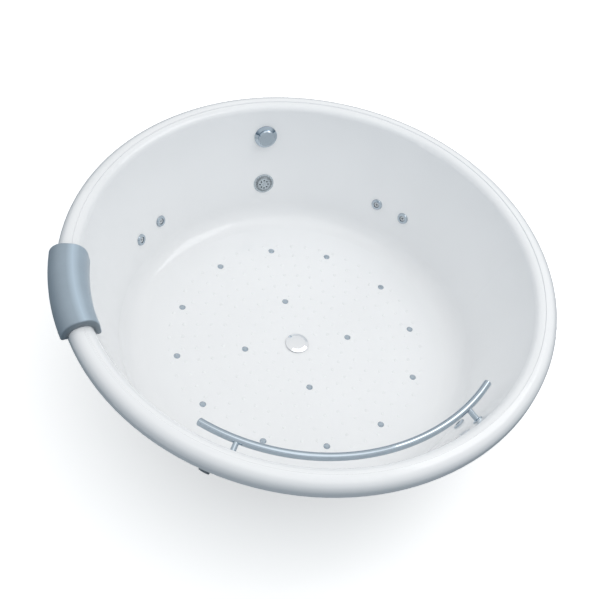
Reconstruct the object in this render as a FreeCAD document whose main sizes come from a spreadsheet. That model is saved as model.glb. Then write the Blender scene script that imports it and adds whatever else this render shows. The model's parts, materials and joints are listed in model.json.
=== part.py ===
import FreeCAD, Part
import math
import os

import Sketcher
from FreeCAD import Placement, Rotation, Vector

# A round drop-in jetted bath. Lengths are millimetres and angles are degrees.
# The origin lies on the bath's axis at floor level, +Z is up, +Y points to the overflow,
# -X to the headrest and -Y to the grab rail. Depths are measured down from the rim's crown.

SIZES = {
    # moulded shell
    "stand_height": 193,
    "rim_radius": 800,
    "lip_depth": 52,
    "lip_wall": 5,
    "shell_wall": 8,
    "shoulder_radius": 34,
    "crown_width": 43,
    "crease_width": 2,
    "shelf_width": 23.33,
    "shelf_drop": 3,
    "inner_edge_radius": 30,
    "wall_lean": 18.26,
    "cove_radius": 87,
    "under_cove_share": 0.45,
    "floor_depth": 437,
    "floor_fall": 1.4,
    "fit_gap": 0.35,
    # hydro jets, in pairs about the diagonals
    "jet_depth": 296,
    "jet_half_spread": 5.08,
    "jet_neck_radius": 14,
    "jet_neck_wall": 3.4,
    "jet_neck_length": 24,
    "jet_bezel_radius": 21,
    "jet_bezel_thickness": 5,
    "jet_bezel_bevel": 2.5,
    "jet_nozzle_radius": 8.8,
    "jet_nozzle_reach": 6,
    "jet_nozzle_bore": 4,
    "jet_nozzle_depth": 3,
    "jet_pin_radius": 1.5,
    "jet_pin_gap": 0.15,
    "jet_body_length": 30,
    "jet_body_wall": 4,
    "jet_branch_depth": 24,
    "jet_branch_radius": 8,
    "jet_branch_length": 34,
    # floor air jets
    "outer_air_radius": 422,
    "inner_air_radius": 186,
    "air_side_spread": 28.7,
    "air_cap_radius": 11,
    "air_cap_height": 3.5,
    "air_cap_top_radius": 6.5,
    "air_pipe_radius": 10,
    "air_branch_radius": 7,
    "air_pipe_drop": 2.5,
    "air_tee_radius": 13,
    "air_feed_drop": 81,
    "air_feed_inset": 240,
    # water ring behind the wall
    "water_ring_rise": 101,
    "water_ring_tube": 13,
    "water_ring_overrun": 4,
    "water_ring_steps": 22,
    # waste
    "waste_neck_radius": 22,
    "waste_neck_wall": 3,
    "waste_neck_length": 32,
    "waste_flange_radius": 36,
    "waste_flange_thickness": 2.5,
    "waste_cover_radius": 39.5,
    "waste_cover_edge": 2,
    "waste_cover_dome": 6,
    "waste_stem_radius": 4,
    "waste_stem_length": 46,
    "waste_body_wall": 4,
    "waste_body_length": 82,
    "waste_outlet_radius": 17,
    "waste_outlet_length": 46,
    "trap_radius": 42,
    "trap_wall": 3,
    "trap_height": 54,
    "trap_nut_room": 2,
    "trap_outlet_radius": 16,
    "trap_outlet_length": 170,
    "trap_neck_radius": 15,
    "trap_neck_length": 14,
    "union_nut_wall": 7,
    "union_nut_length": 15,
    # overflow with the rotary waste control
    "overflow_depth": 113.5,
    "overflow_hole_radius": 26,
    "overflow_rosette_radius": 41.5,
    "overflow_rosette_thickness": 7,
    "overflow_rosette_edge": 3,
    "overflow_rosette_wall": 2,
    "overflow_rosette_grip": 4,
    "overflow_knob_radius": 30,
    "overflow_knob_base": 9.5,
    "overflow_knob_height": 12,
    "overflow_knob_bevel": 3,
    "overflow_spindle_radius": 5,
    "overflow_neck_wall": 3,
    "overflow_body_radius": 36,
    "overflow_body_length": 34,
    "overflow_pipe_radius": 16,
    "overflow_pipe_wall": 2,
    "overflow_spigot_length": 12,
    "overflow_pipe_azimuth": 104,
    "overflow_pipe_inset": 78,
    "overflow_pipe_bend_depth": 300,
    "overflow_pipe_low_inset": 200,
    "overflow_pipe_drop": 81,
    "waste_inlet_length": 12,
    "cable_radius": 4,
    "cable_azimuth": 96,
    "cable_end_azimuth": 50,
    # suction
    "suction_depth": 295,
    "suction_hole_radius": 24,
    "suction_cover_radius": 38,
    "suction_cover_thickness": 4,
    "suction_guard_radius": 29,
    "suction_guard_height": 4,
    "suction_guard_bevel": 3,
    "suction_slot_radius": 3,
    "suction_slot_circle": 15,
    "suction_slot_count": 8,
    "drill_length": 40,
    "suction_body_radius": 30,
    "suction_pipe_radius": 24,
    "suction_spigot_drop": 67,
    # pump, laid along a line that turns away from the overflow's radius
    "pump_turn": 15,
    "pump_axis_height": 98,
    "pump_inlet_start": 74,
    "pump_inlet_radius": 27,
    "pump_eye_radius": 20,
    "pump_wet_start": 92,
    "pump_wet_end": 150,
    "pump_wet_radius": 62,
    "pump_outlet_position": 115,
    "pump_outlet_radius": 19,
    "pump_outlet_height": 190,
    "pump_outlet_wall": 4,
    "pump_chamber_radius": 50,
    "pump_chamber_wall": 9,
    "pump_impeller_radius": 44,
    "pump_impeller_thickness": 6,
    "pump_vane_width": 4,
    "pump_vane_height": 14,
    "pump_vane_start": 14,
    "pump_blade_count": 6,
    "pump_impeller_gap": 6,
    "pump_nut_wall": 5,
    "pump_nut_length": 4,
    "pump_shaft_radius": 7,
    "shaft_clearance": 0.08,
    "pump_motor_radius": 56,
    "pump_motor_length": 170,
    "pump_rib_count": 14,
    "pump_rib_height": 4,
    "pump_rib_width": 3,
    "pump_rib_sink": 2,
    "pump_rib_start": 12,
    "pump_rib_end": 16,
    "pump_fan_cover_length": 44,
    "pump_fan_cover_wall": 2,
    "pump_fan_radius": 44,
    "pump_fan_thickness": 12,
    "pump_fan_gap": 8,
    "pump_fan_blade_start": 18,
    "pump_slot_count": 5,
    "pump_slot_width": 5,
    "pump_slot_pitch": 10,
    "pump_foot_start": 24,
    "pump_foot_length": 120,
    "pump_foot_width": 110,
    "pump_foot_thickness": 4,
    "pump_box_start": 40,
    "pump_box_length": 70,
    "pump_box_width": 56,
    "pump_box_height": 30,
    "pump_mount_radius": 12,
    "pump_mount_height": 14,
    # blower
    "blower_radius": 70,
    "blower_wall": 3,
    "blower_base_height": 60,
    "blower_cap_height": 120,
    "blower_offset": 122,
    "blower_side_shift": 8,
    "blower_fan_radius": 56,
    "blower_fan_thickness": 24,
    "blower_fan_blade_count": 10,
    "blower_blade_start": 23,
    "blower_blade_tip_gap": 1,
    "blower_blade_thickness": 2,
    "blower_blade_turn": 12,
    "blower_shaft_radius": 5,
    "blower_outlet_radius": 16,
    "blower_outlet_length": 20,
    "air_loop_inset": 69,
    "air_loop_depth": 115,
    "air_loop_pipe": 12,
    "air_loop_bend": 32,
    "check_valve_radius": 21,
    "check_valve_length": 50,
    "check_valve_height": 300,
    # grab rail
    "rail_post_depth": 103.7,
    "rail_standoff": 50,
    "rail_bar_radius": 12.5,
    "rail_half_span": 44,
    "rail_post_angle": 33,
    "rail_post_radius": 9,
    "rail_end_bevel": 3,
    "rail_rosette_radius": 17,
    "rail_rosette_thickness": 5,
    "rail_stud_radius": 5,
    "rail_nut_flats": 17,
    "rail_nut_thickness": 8,
    "rail_washer_radius": 13,
    "rail_washer_thickness": 2,
    # headrest
    "pad_half_angle": 12.2,
    "pad_thickness": 25,
    "pad_gap": 0.6,
    "pad_inner_reach": 60,
    "pad_inner_tip": 16,
    "pad_outer_reach": 42,
    "pad_outer_tip": 22,
    "pad_tip_round": 7.8,
    "pad_crown_radius": 40,
    "pad_end_round": 7.4,
    "sucker_radius": 15,
    "sucker_top_radius": 8,
    "sucker_height": 8,
    "sucker_half_angle": 6.5,
    "sucker_inset": 22,
    # base board, frame and feet
    "board_inner_gap": 29,
    "board_outer_gap": 38,
    "board_drop": 33,
    "tube_side": 30,
    "tube_wall": 2,
    "frame_inset": 172,
    "frame_overhang": 85,
    "frame_arm_inset": 260,
    "cross_bar_drop": 133,
    "foot_overhang": 60,
    "foot_radius": 25,
    "foot_height": 12,
    "stud_radius": 6,
    "stud_drop": 10,
    "stud_nut_flats": 19,
    "stud_nut_thickness": 10,
    # equipment trays
    "tray_height": 12,
    "tray_sheet": 3,
    "tray_edge": 14,
    "pump_tray_start": 62,
    "pump_tray_end": 392,
    "pump_tray_inner": 144,
    "pump_tray_outer": 60,
    "blower_tray_start": 25,
    "blower_tray_end": 202,
    "blower_tray_outer": 60,
    "blower_tray_inner": 82,
    "blower_tray_turn": 157.4,
    "tray_foot_radius": 13,
    "tray_foot_inset": 22,
    # control box and its leads
    "box_start": 0,
    "box_length": 180,
    "box_depth": 55,
    "box_drop": 13,
    "box_height": 120,
    "gland_radius": 9,
    "gland_bore": 4.2,
    "gland_length": 18,
    "lead_radius": 4,
    "lead_inset": 7,
}

doc = FreeCAD.newDocument("JettedBathtub")
sheet = doc.addObject("Spreadsheet::Sheet", "Sizes")
for row, (alias, number) in enumerate(SIZES.items(), start=1):
    sheet.set("A%d" % row, alias)
    sheet.set("B%d" % row, str(number))
    sheet.setAlias("B%d" % row, alias)
doc.recompute()


class Size:
    """A length, ratio or angle: its number, and the text of the formula that gives it."""

    def __init__(self, value, text=None):
        self.value = float(value)
        self.text = repr(float(value)) if text is None else text

    def join(self, other, sign, value):
        return Size(value, "(%s %s %s)" % (self.text, sign, size(other).text))

    def __add__(self, other):
        return self.join(other, "+", self.value + size(other).value)

    def __sub__(self, other):
        return self.join(other, "-", self.value - size(other).value)

    def __mul__(self, other):
        return self.join(other, "*", self.value * size(other).value)

    def __truediv__(self, other):
        return self.join(other, "/", self.value / size(other).value)

    def __neg__(self):
        return size(0) - self


def size(number):
    """Any number as a Size."""
    return number if isinstance(number, Size) else Size(number)


def sheet_size(alias):
    """The Size that the sheet's cell of this name holds."""
    return Size(sheet.get(alias), "Sizes." + alias)


def sine(angle):
    return Size(math.sin(math.radians(angle.value)), "sin(%s)" % angle.text)


def cosine(angle):
    return Size(math.cos(math.radians(angle.value)), "cos(%s)" % angle.text)


def tangent(angle):
    return Size(math.tan(math.radians(angle.value)), "tan(%s)" % angle.text)


class SheetSizes:
    """The sheet's cells by name, so that S.rim_radius is the cell rim_radius."""

    def __getattr__(self, alias):
        return sheet_size(alias)


S = SheetSizes()

RIM_HEIGHT = S.stand_height + S.floor_depth
CROWN_INNER_RADIUS = S.rim_radius - S.crown_width
WATER_RING_HEIGHT = RIM_HEIGHT - S.jet_depth + S.water_ring_rise
AIR_FEED_HEIGHT = S.stand_height - S.air_feed_drop
AIR_FEED_END_RADIUS = S.rim_radius - S.air_feed_inset
AIR_LOOP_RADIUS = S.rim_radius - S.air_loop_inset
OVERFLOW_PIPE_HEIGHT = S.stand_height - S.overflow_pipe_drop
OVERFLOW_PIPE_RADIUS_OUT = S.rim_radius - S.overflow_pipe_inset
OVERFLOW_PIPE_LOW_RADIUS = S.rim_radius - S.overflow_pipe_low_inset
SUCTION_SPIGOT_HEIGHT = RIM_HEIGHT - S.suction_depth - S.suction_spigot_drop
BOARD_BOTTOM = S.stand_height - S.board_drop
FRAME_ARM_END = S.rim_radius - S.frame_arm_inset
FRAME_SPACING = S.outer_air_radius - S.frame_inset
CROSS_BAR_HEIGHT = S.stand_height - S.cross_bar_drop
BOX_TOP = S.stand_height - S.box_drop
BOX_BOTTOM = BOX_TOP - S.box_height

# ---------------------------------------------------------------- building blocks


def bind(thing, prop, value):
    """Sets a property and ties it to the formula of its size."""
    value = size(value)
    thing.setExpression(prop, value.text)


def closed_sketch(body, name, role, points):
    """A closed outline on one of the body's own planes, every corner bound to its size.

    A point is (across, up), or (across, up, radius) where the corner is rounded.
    """
    sketch = body.newObject("Sketcher::SketchObject", name)
    plane = [item for item in body.Origin.OriginFeatures if item.Role == role][0]
    sketch.AttachmentSupport = (plane, [""])
    sketch.MapMode = "FlatFace"
    corners = [(size(point[0]), size(point[1])) for point in points]
    places = [Vector(across.value, up.value, 0) for across, up in corners]
    count = len(corners)
    for i in range(count):
        sketch.addGeometry(Part.LineSegment(places[i], places[(i + 1) % count]), False)
    for i in range(count):
        sketch.addConstraint(Sketcher.Constraint("Coincident", i, 2, (i + 1) % count, 1))
    for i, corner in enumerate(corners):
        for kind, distance in zip(("DistanceX", "DistanceY"), corner):
            number = sketch.addConstraint(Sketcher.Constraint(kind, -1, 1, i, 1, distance.value))
            sketch.setExpression("Constraints[%d]" % number, distance.text)
    for i, point in enumerate(points):
        if len(point) == 3:
            round_sketch_corner(sketch, (i - 1) % count, size(point[2]))
    return sketch


def round_sketch_corner(sketch, line, radius):
    """Rounds the corner at a line's end and binds the arc's radius."""
    before = sketch.GeometryCount
    sketch.fillet(line, 2, radius.value, True, True)
    for index in range(before, sketch.GeometryCount):
        if isinstance(sketch.Geometry[index], Part.ArcOfCircle):
            number = sketch.addConstraint(Sketcher.Constraint("Radius", index, radius.value))
            sketch.setExpression("Constraints[%d]" % number, radius.text)


def turned(name, points, axis="V_Axis"):
    """A body of revolution: the outline is (radius, height), turned about the upright axis."""
    body = doc.addObject("PartDesign::Body", name)
    sketch = closed_sketch(body, name + "_outline", "XZ_Plane", points)
    turn = body.newObject("PartDesign::Revolution", name + "_turn")
    turn.Profile = sketch
    turn.ReferenceAxis = (sketch, [axis])
    turn.Angle = 360
    return body


def padded_outline(name, points, length, role="XY_Plane"):
    """A body with a straight-sided outline, padded by a length."""
    body = doc.addObject("PartDesign::Body", name)
    sketch = closed_sketch(body, name + "_outline", role, points)
    pad = body.newObject("PartDesign::Pad", name + "_pad")
    pad.Profile = sketch
    bind(pad, "Length", length)
    return body


def box(name, corner, extent):
    """A block from its lowest corner and its three sides."""
    block = doc.addObject("Part::Box", name)
    for prop, side in zip(("Length", "Width", "Height"), extent):
        bind(block, prop, side)
    for prop, place in zip(("x", "y", "z"), corner):
        bind(block, "Placement.Base." + prop, place)
    return block


def cylinder(name, radius, length, frame=None):
    """A cylinder that stands on the origin of a frame, along the frame's Z."""
    rod = doc.addObject("Part::Cylinder", name)
    bind(rod, "Radius", radius)
    bind(rod, "Height", length)
    if frame is not None:
        rod.Placement = frame
    return rod


def fused(name, pieces):
    joined = doc.addObject("Part::MultiFuse", name)
    joined.Shapes = pieces
    return joined


def grouped(name, pieces):
    group = doc.addObject("Part::Compound", name)
    group.Links = pieces
    return group


def cut(name, base, tools):
    """The base less all the tools."""
    rest = doc.addObject("Part::Cut", name)
    rest.Base = base
    rest.Tool = grouped(name + "_tools", tools)
    return rest


def repeated(name, pattern, frames):
    """Copies of one pattern piece, one at each frame, as a group of separate solids."""
    links = []
    for number, frame in enumerate(frames, start=1):
        link = doc.addObject("App::Link", "%s_copy_%d" % (name, number))
        link.LinkedObject = pattern
        link.Placement = frame
        links.append(link)
    return grouped(name, links)


def shape_node(name, shape):
    """A node whose form no ready feature makes."""
    feature = doc.addObject("Part::Feature", name)
    feature.Shape = shape
    return feature


def ring_outline(inner, outer, low, high):
    """The outline of a plain ring or tube."""
    return [(inner, low), (outer, low), (outer, high), (inner, high)]


def hexagon(flats):
    """The corners of a hexagon, a distance across its flats."""
    corner = flats / 2 / cosine(size(30))
    return [(corner * cosine(size(60 * k)), corner * sine(size(60 * k))) for k in range(6)]


def hex_nut(name, flats, bore, thickness):
    """A plain hexagon nut on the origin."""
    block = padded_outline(name + "_block", hexagon(flats), thickness)
    hole = cylinder(name + "_hole", bore, thickness + 2, Placement(Vector(0, 0, -1), Rotation()))
    return cut(name, block, [hole])


# ---------------------------------------------------------------- routes of pipes and leads


def rounded_route(points, bend):
    """Straight runs joined by tangent arcs of one radius."""
    edges = []
    start = points[0]
    for before, corner, after in zip(points, points[1:], points[2:]):
        into = (corner - before).normalize()
        out = (after - corner).normalize()
        turn = into.getAngle(out)
        setback = bend * math.tan(turn / 2)
        first = corner - into * setback
        last = corner + out * setback
        inward = (out - into).normalize()
        middle = corner + inward * (bend / math.cos(turn / 2) - bend)
        edges.append(Part.LineSegment(start, first).toShape())
        edges.append(Part.Arc(first, middle, last).toShape())
        start = last
    edges.append(Part.LineSegment(start, points[-1]).toShape())
    return Part.Wire(edges)


def rod_along(points, radius, bend):
    """A solid round rod along a rounded route."""
    path = rounded_route(points, bend)
    circle = Part.Circle(points[0], points[1] - points[0], radius).toShape()
    return path.makePipeShell([Part.Wire([circle])], True, False)


def mitred_route(points, bend, steps=3):
    """The route with each corner turned in a few equal steps, as on a pipe with mitred bends."""
    route = [points[0]]
    for before, corner, after in zip(points, points[1:], points[2:]):
        into = (corner - before).normalize()
        out = (after - corner).normalize()
        turn = into.getAngle(out)
        first = corner - into * (bend * math.tan(turn / 2))
        centre = corner + (out - into).normalize() * (bend / math.cos(turn / 2))
        for step in range(steps + 1):
            swing = Rotation(into.cross(out), math.degrees(turn) * step / steps)
            route.append(centre + swing.multVec(first - centre))
    route.append(points[-1])
    return route


def pipe_along(points, radius):
    """A pipe along straight runs that meet in mitres. Both its ends are joined, so it is solid."""
    circle = Part.Circle(points[0], points[1] - points[0], number(radius)).toShape()
    mitred = 1
    return Part.makePolygon(points).makePipeShell([Part.Wire([circle])], True, False, mitred)


# ---------------------------------------------------------------- the shell and places on it


def wall_radius(depth):
    """The inner wall's radius at a depth below the crown."""
    return CROWN_INNER_RADIUS - S.shelf_width - depth * tangent(S.wall_lean)


def floor_level(radius):
    """The height of the floor's top, which falls towards the waste."""
    return S.stand_height + (radius - S.outer_air_radius) * tangent(S.floor_fall)


def underside(radius):
    return floor_level(radius) - S.shell_wall / cosine(S.floor_fall)


def floor_corner(offset):
    """Where the wall's line meets the floor's, on the skin this far below the top one."""
    lean = tangent(S.wall_lean)
    fall = tangent(S.floor_fall)
    wall = wall_radius(size(0)) + size(offset) / cosine(S.wall_lean)
    depth = S.floor_depth + size(offset) / cosine(S.floor_fall)
    radius = (wall - lean * (depth + S.outer_air_radius * fall)) / (size(1) - lean * fall)
    height = RIM_HEIGHT - depth + (radius - S.outer_air_radius) * fall
    return radius, height


def polar(radius, azimuth, height=0):
    """A point by its distance from the axis, its azimuth and its height."""
    turn = math.radians(float(azimuth))
    return Vector(radius * math.cos(turn), radius * math.sin(turn), height)


def number(value):
    return value.value if isinstance(value, Size) else float(value)


def wall_frame(azimuth, depth):
    """A frame on the inner wall: Z points into the bath, square to the wall, and Y up the wall."""
    lean = math.radians(S.wall_lean.value)
    outward = polar(1, number(azimuth))
    up = Vector(0, 0, 1)
    slope = outward * math.sin(lean) + up * math.cos(lean)
    normal = up * math.sin(lean) - outward * math.cos(lean)
    height = RIM_HEIGHT.value - number(depth)
    place = polar(wall_radius(size(depth)).value, number(azimuth), height)
    return Placement(place, Rotation(slope.cross(normal), slope, normal, "ZXY"))


def on_frame(frame, x, y, z):
    """A point given in a frame, in the bath's own frame."""
    return frame.multVec(Vector(number(x), number(y), number(z)))


def shifted(frame, x, y, z):
    """A frame moved along its own axes."""
    return frame * Placement(Vector(number(x), number(y), number(z)), Rotation())


JET_AZIMUTHS = []
for diagonal in (45, 135, 225, 315):
    for side in (-1, 1):
        JET_AZIMUTHS.append(diagonal + side * S.jet_half_spread.value)
JET_FRAMES = [wall_frame(azimuth, S.jet_depth) for azimuth in JET_AZIMUTHS]

OUTER_AIR_AZIMUTHS = []
for axis in (0, 90, 180, 270):
    for side in (-1, 0, 1):
        OUTER_AIR_AZIMUTHS.append(axis + side * S.air_side_spread.value)
INNER_AIR_AZIMUTHS = [0, 90, 180, 270]

FEED_AZIMUTH = 135

OVERFLOW_FRAME = wall_frame(90, S.overflow_depth)
SUCTION_FRAME = wall_frame(90, S.suction_depth)
RAIL_AZIMUTH = 270
RAIL_FRAMES = [
    wall_frame(RAIL_AZIMUTH + side * S.rail_post_angle.value, S.rail_post_depth)
    for side in (-1, 1)
]


def air_frames():
    """The frames of the sixteen floor jets, on the floor's top."""
    frames = []
    for radius, azimuths in (
        (S.outer_air_radius, OUTER_AIR_AZIMUTHS),
        (S.inner_air_radius, INNER_AIR_AZIMUTHS),
    ):
        for azimuth in azimuths:
            place = polar(radius.value, azimuth, floor_level(radius).value)
            frames.append(Placement(place, Rotation()))
    return frames


def wall_seat(radius, depth):
    """How far off the wall a flat round fitting stands, so that the curved wall clears its rim."""
    return S.fit_gap + radius * radius / wall_radius(depth) / 2 * cosine(S.wall_lean)


def shell_form():
    """The moulded skin in section: lip, shoulder, crown, crease, wall, cove and falling floor."""
    top = RIM_HEIGHT
    lip_end = top - S.lip_depth
    shelf = top - S.shelf_drop
    rim_under = shelf - S.shell_wall
    lip_inside = S.rim_radius - S.lip_wall
    hole = S.waste_neck_radius + S.fit_gap
    thickness = S.shell_wall / cosine(S.wall_lean)
    across, up = floor_corner(0)
    under_across, under_up = floor_corner(S.shell_wall)
    slant = S.cove_radius * S.under_cove_share
    points = [
        (S.rim_radius, lip_end),
        (S.rim_radius, top, S.shoulder_radius),
        (CROWN_INNER_RADIUS, top),
        (CROWN_INNER_RADIUS - S.crease_width, shelf),
        (wall_radius(S.shelf_drop), shelf, S.inner_edge_radius),
        (across, up, S.cove_radius),
        (hole, floor_level(hole)),
        (hole, underside(hole)),
        (under_across - slant, underside(under_across - slant)),
        (under_across + slant * tangent(S.wall_lean), under_up + slant),
        (wall_radius(S.shelf_drop + S.shell_wall) + thickness, rim_under),
        (lip_inside - S.shoulder_radius * S.under_cove_share * 2, rim_under),
        (lip_inside, rim_under - S.shoulder_radius * S.under_cove_share * 2),
        (lip_inside, lip_end),
    ]
    return turned("shell_form", points)


def wall_drill(name, radius, frame):
    """A drill straight through the wall at a wall frame."""
    reach = S.shell_wall * 2
    return cylinder(name, radius, reach * 2, shifted(frame, 0, 0, -reach.value))


def tub_shell():
    drills = []
    for index, frame in enumerate(JET_FRAMES, start=1):
        drills.append(wall_drill("jet_drill_%d" % index, S.jet_neck_radius + S.fit_gap, frame))
    for index, frame in enumerate(RAIL_FRAMES, start=1):
        drills.append(wall_drill("rail_drill_%d" % index, S.rail_stud_radius + S.fit_gap, frame))
    drills.append(wall_drill("overflow_drill", S.overflow_hole_radius + S.fit_gap, OVERFLOW_FRAME))
    drills.append(wall_drill("suction_drill", S.suction_hole_radius + S.fit_gap, SUCTION_FRAME))
    for index, frame in enumerate(air_frames(), start=1):
        reach = S.shell_wall * 2
        start = shifted(frame, 0, 0, -reach.value)
        drills.append(
            cylinder("air_drill_%d" % index, S.air_branch_radius + S.fit_gap, reach * 2, start)
        )
    return cut("tub_shell", shell_form(), drills)


# ---------------------------------------------------------------- hydro jets


def jet_seat():
    return wall_seat(S.jet_bezel_radius, S.jet_depth)


def jet_bezels():
    """The chrome flanges on the wall, each with a neck through it."""
    seat = jet_seat()
    front = seat + S.jet_bezel_thickness
    bore = S.jet_neck_radius - S.jet_neck_wall
    outline = [
        (bore, -S.jet_neck_length),
        (S.jet_neck_radius, -S.jet_neck_length),
        (S.jet_neck_radius, seat),
        (S.jet_bezel_radius, seat),
        (S.jet_bezel_radius - S.jet_bezel_bevel, front),
        (bore, front),
    ]
    return repeated("jet_bezels", turned("jet_bezel_pattern", outline), JET_FRAMES)


def jet_nozzles():
    """The swivelling eyes, each on two pins inside its neck."""
    low = -S.jet_nozzle_depth - S.jet_nozzle_reach
    high = S.jet_nozzle_reach - S.jet_nozzle_depth
    outline = ring_outline(S.jet_nozzle_bore, S.jet_nozzle_radius, low, high)
    pieces = [turned("jet_eye", outline)]
    inner = (S.jet_nozzle_bore + S.jet_nozzle_radius) / 2
    length = S.jet_neck_radius - S.jet_neck_wall - S.jet_pin_gap - inner
    for name, side in (("jet_pin_right", 1), ("jet_pin_left", -1)):
        outward = Rotation(Vector(0, 0, 1), Vector(side, 0, 0))
        start = Vector(side * inner.value, 0, -S.jet_nozzle_depth.value)
        pieces.append(cylinder(name, S.jet_pin_radius, length, Placement(start, outward)))
    pattern = fused("jet_nozzle_pattern", pieces)
    return [
        repeated("jet_nozzle_%d" % index, pattern, [frame])
        for index, frame in enumerate(JET_FRAMES, start=1)
    ]


def jet_bodies():
    """The cups behind the wall, each with a branch that points up the wall."""
    mouth = -S.shell_wall - S.fit_gap
    end = mouth - S.jet_body_length
    neck = S.jet_neck_radius + S.fit_gap
    outer = neck + S.jet_body_wall
    outline = [
        (neck, mouth),
        (outer, mouth),
        (outer, end),
        (size(0), end),
        (size(0), end + S.jet_body_wall),
        (neck, end + S.jet_body_wall),
    ]
    cup = turned("jet_cup", outline)
    upward = Rotation(Vector(1, 0, 0), -90)
    start = Placement(Vector(0, neck.value + 1, -S.jet_branch_depth.value), upward)
    branch = cylinder("jet_branch", S.jet_branch_radius, S.jet_branch_length - neck - 1, start)
    return repeated("jet_bodies", fused("jet_body_pattern", [cup, branch]), JET_FRAMES)


def water_ring_radius():
    """The ring runs where the jets' branches, parallel to the wall, reach its height."""
    spigot_out = S.jet_branch_depth * cosine(S.wall_lean)
    rise = S.water_ring_rise + S.jet_branch_depth * sine(S.wall_lean)
    return wall_radius(S.jet_depth) + spigot_out + rise * tangent(S.wall_lean)


def branch_length():
    """The length of a jet's branch, from the jet's centre line to the ring's."""
    rise = S.water_ring_rise + S.jet_branch_depth * sine(S.wall_lean)
    return rise / cosine(S.wall_lean)


def water_ring():
    """The pipe round three quarters of the bath, with a branch to each jet and to the pump."""
    first = JET_AZIMUTHS[-2] - 360 - S.water_ring_overrun.value
    last = JET_AZIMUTHS[5] + S.water_ring_overrun.value
    steps = int(S.water_ring_steps.value)
    half_step = math.radians((last - first) / steps / 2)
    reach = water_ring_radius().value / math.sqrt(math.cos(half_step))
    route = [
        polar(reach, first + (last - first) * step / steps, WATER_RING_HEIGHT.value)
        for step in range(steps + 1)
    ]
    pieces = [shape_node("water_ring_run", pipe_along(route, S.water_ring_tube))]
    upward = Rotation(Vector(1, 0, 0), -90)
    for index, frame in enumerate(JET_FRAMES, start=1):
        foot = frame * Placement(
            Vector(0, S.jet_branch_length.value, -S.jet_branch_depth.value), upward
        )
        length = branch_length() - S.jet_branch_length
        pieces.append(cylinder("water_branch_%d" % index, S.jet_branch_radius, length, foot))
    outlet = pump_point(S.pump_outlet_position, 0, pressure_pipe_top())
    length = WATER_RING_HEIGHT - pressure_pipe_top()
    drop = cylinder("water_ring_drop", S.water_ring_tube + 1, length, Placement(outlet, Rotation()))
    return fused("water_ring", pieces + [drop])


# ---------------------------------------------------------------- floor air jets


def air_jet_caps():
    """Low chrome buttons over the floor's air holes."""
    outline = [
        (size(0), S.fit_gap),
        (S.air_cap_radius, S.fit_gap),
        (S.air_cap_top_radius, S.fit_gap + S.air_cap_height),
        (size(0), S.fit_gap + S.air_cap_height),
    ]
    return repeated("air_jet_caps", turned("air_jet_cap_pattern", outline), air_frames())


def air_pipe_height(radius):
    return underside(radius) - S.air_pipe_radius - S.air_pipe_drop


def air_ring(name, radius, azimuths):
    """A ring of straight pipes glued into tees, with a stub up through the floor at each."""
    height = air_pipe_height(radius)
    corners = [polar(radius.value, azimuth, height.value) for azimuth in azimuths]
    pieces = []
    for index, corner in enumerate(corners):
        following = (index + 1) % len(corners)
        half_gap = size((azimuths[following] - azimuths[index]) % 360 / 2)
        frame = Placement(corner, Rotation(Vector(0, 0, 1), corners[following] - corner))
        length = radius * 2 * sine(half_gap)
        pieces.append(cylinder("%s_run_%d" % (name, index), S.air_pipe_radius, length, frame))
        start = Placement(corner - Vector(0, 0, S.air_tee_radius.value), Rotation())
        rise = floor_level(radius) - height + S.air_tee_radius
        pieces.append(cylinder("%s_tee_%d" % (name, index), S.air_branch_radius, rise, start))
    return pieces


def air_manifold():
    """Both air rings and the pipe that feeds them, glued up as one piece."""
    low = AIR_FEED_HEIGHT
    outer_mid = S.outer_air_radius * cosine(size(45) - S.air_side_spread)
    inner_mid = S.inner_air_radius * cosine(size(45))
    inward = Rotation(Vector(0, 0, 1), polar(-1, FEED_AZIMUTH))
    start = Placement(polar(AIR_FEED_END_RADIUS.value, FEED_AZIMUTH, low.value), inward)
    length = AIR_FEED_END_RADIUS - inner_mid + S.air_tee_radius
    pieces = [cylinder("air_feed_run", S.air_loop_pipe, length, start)]
    for name, radius, ring in (
        ("outer", outer_mid, S.outer_air_radius),
        ("inner", inner_mid, S.inner_air_radius),
    ):
        foot = Placement(polar(radius.value, FEED_AZIMUTH, low.value), Rotation())
        rise = air_pipe_height(ring) - low
        pieces.append(cylinder("air_riser_" + name, S.air_branch_radius, rise, foot))
    pieces += air_ring("outer_air", S.outer_air_radius, OUTER_AIR_AZIMUTHS)
    pieces += air_ring("inner_air", S.inner_air_radius, INNER_AIR_AZIMUTHS)
    return fused("air_manifold", pieces)


# ---------------------------------------------------------------- waste


def waste_flange():
    """The chrome ring in the floor and its neck through the shell."""
    bore = S.waste_neck_radius - S.waste_neck_wall
    seat = floor_level(S.waste_flange_radius) + S.fit_gap
    outline = [
        (bore, seat - S.waste_neck_length),
        (S.waste_neck_radius, seat - S.waste_neck_length),
        (S.waste_neck_radius, seat),
        (S.waste_flange_radius, seat),
        (S.waste_flange_radius, seat + S.waste_flange_thickness),
        (bore, seat + S.waste_flange_thickness),
    ]
    return turned("waste_flange", outline)


# The dome of the waste cover: at each share of its radius, the share of its rise.
WASTE_DOME = ((0.72, 0.6), (0.38, 0.92))


def waste_cover():
    """The domed plug, on a stem that the cable lifts."""
    seat = floor_level(S.waste_flange_radius) + S.fit_gap * 2 + S.waste_flange_thickness
    shoulder = seat + S.waste_cover_edge
    slopes = [
        (S.waste_cover_radius * across, shoulder + S.waste_cover_dome * up)
        for across, up in WASTE_DOME
    ]
    outline = [
        (size(0), seat - S.waste_stem_length),
        (S.waste_stem_radius, seat - S.waste_stem_length),
        (S.waste_stem_radius, seat),
        (S.waste_cover_radius, seat),
        (S.waste_cover_radius, shoulder),
        *slopes,
        (size(0), shoulder + S.waste_cover_dome),
    ]
    return turned("waste_cover", outline)


def waste_body_top():
    return underside(S.waste_neck_radius) - S.fit_gap


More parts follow.
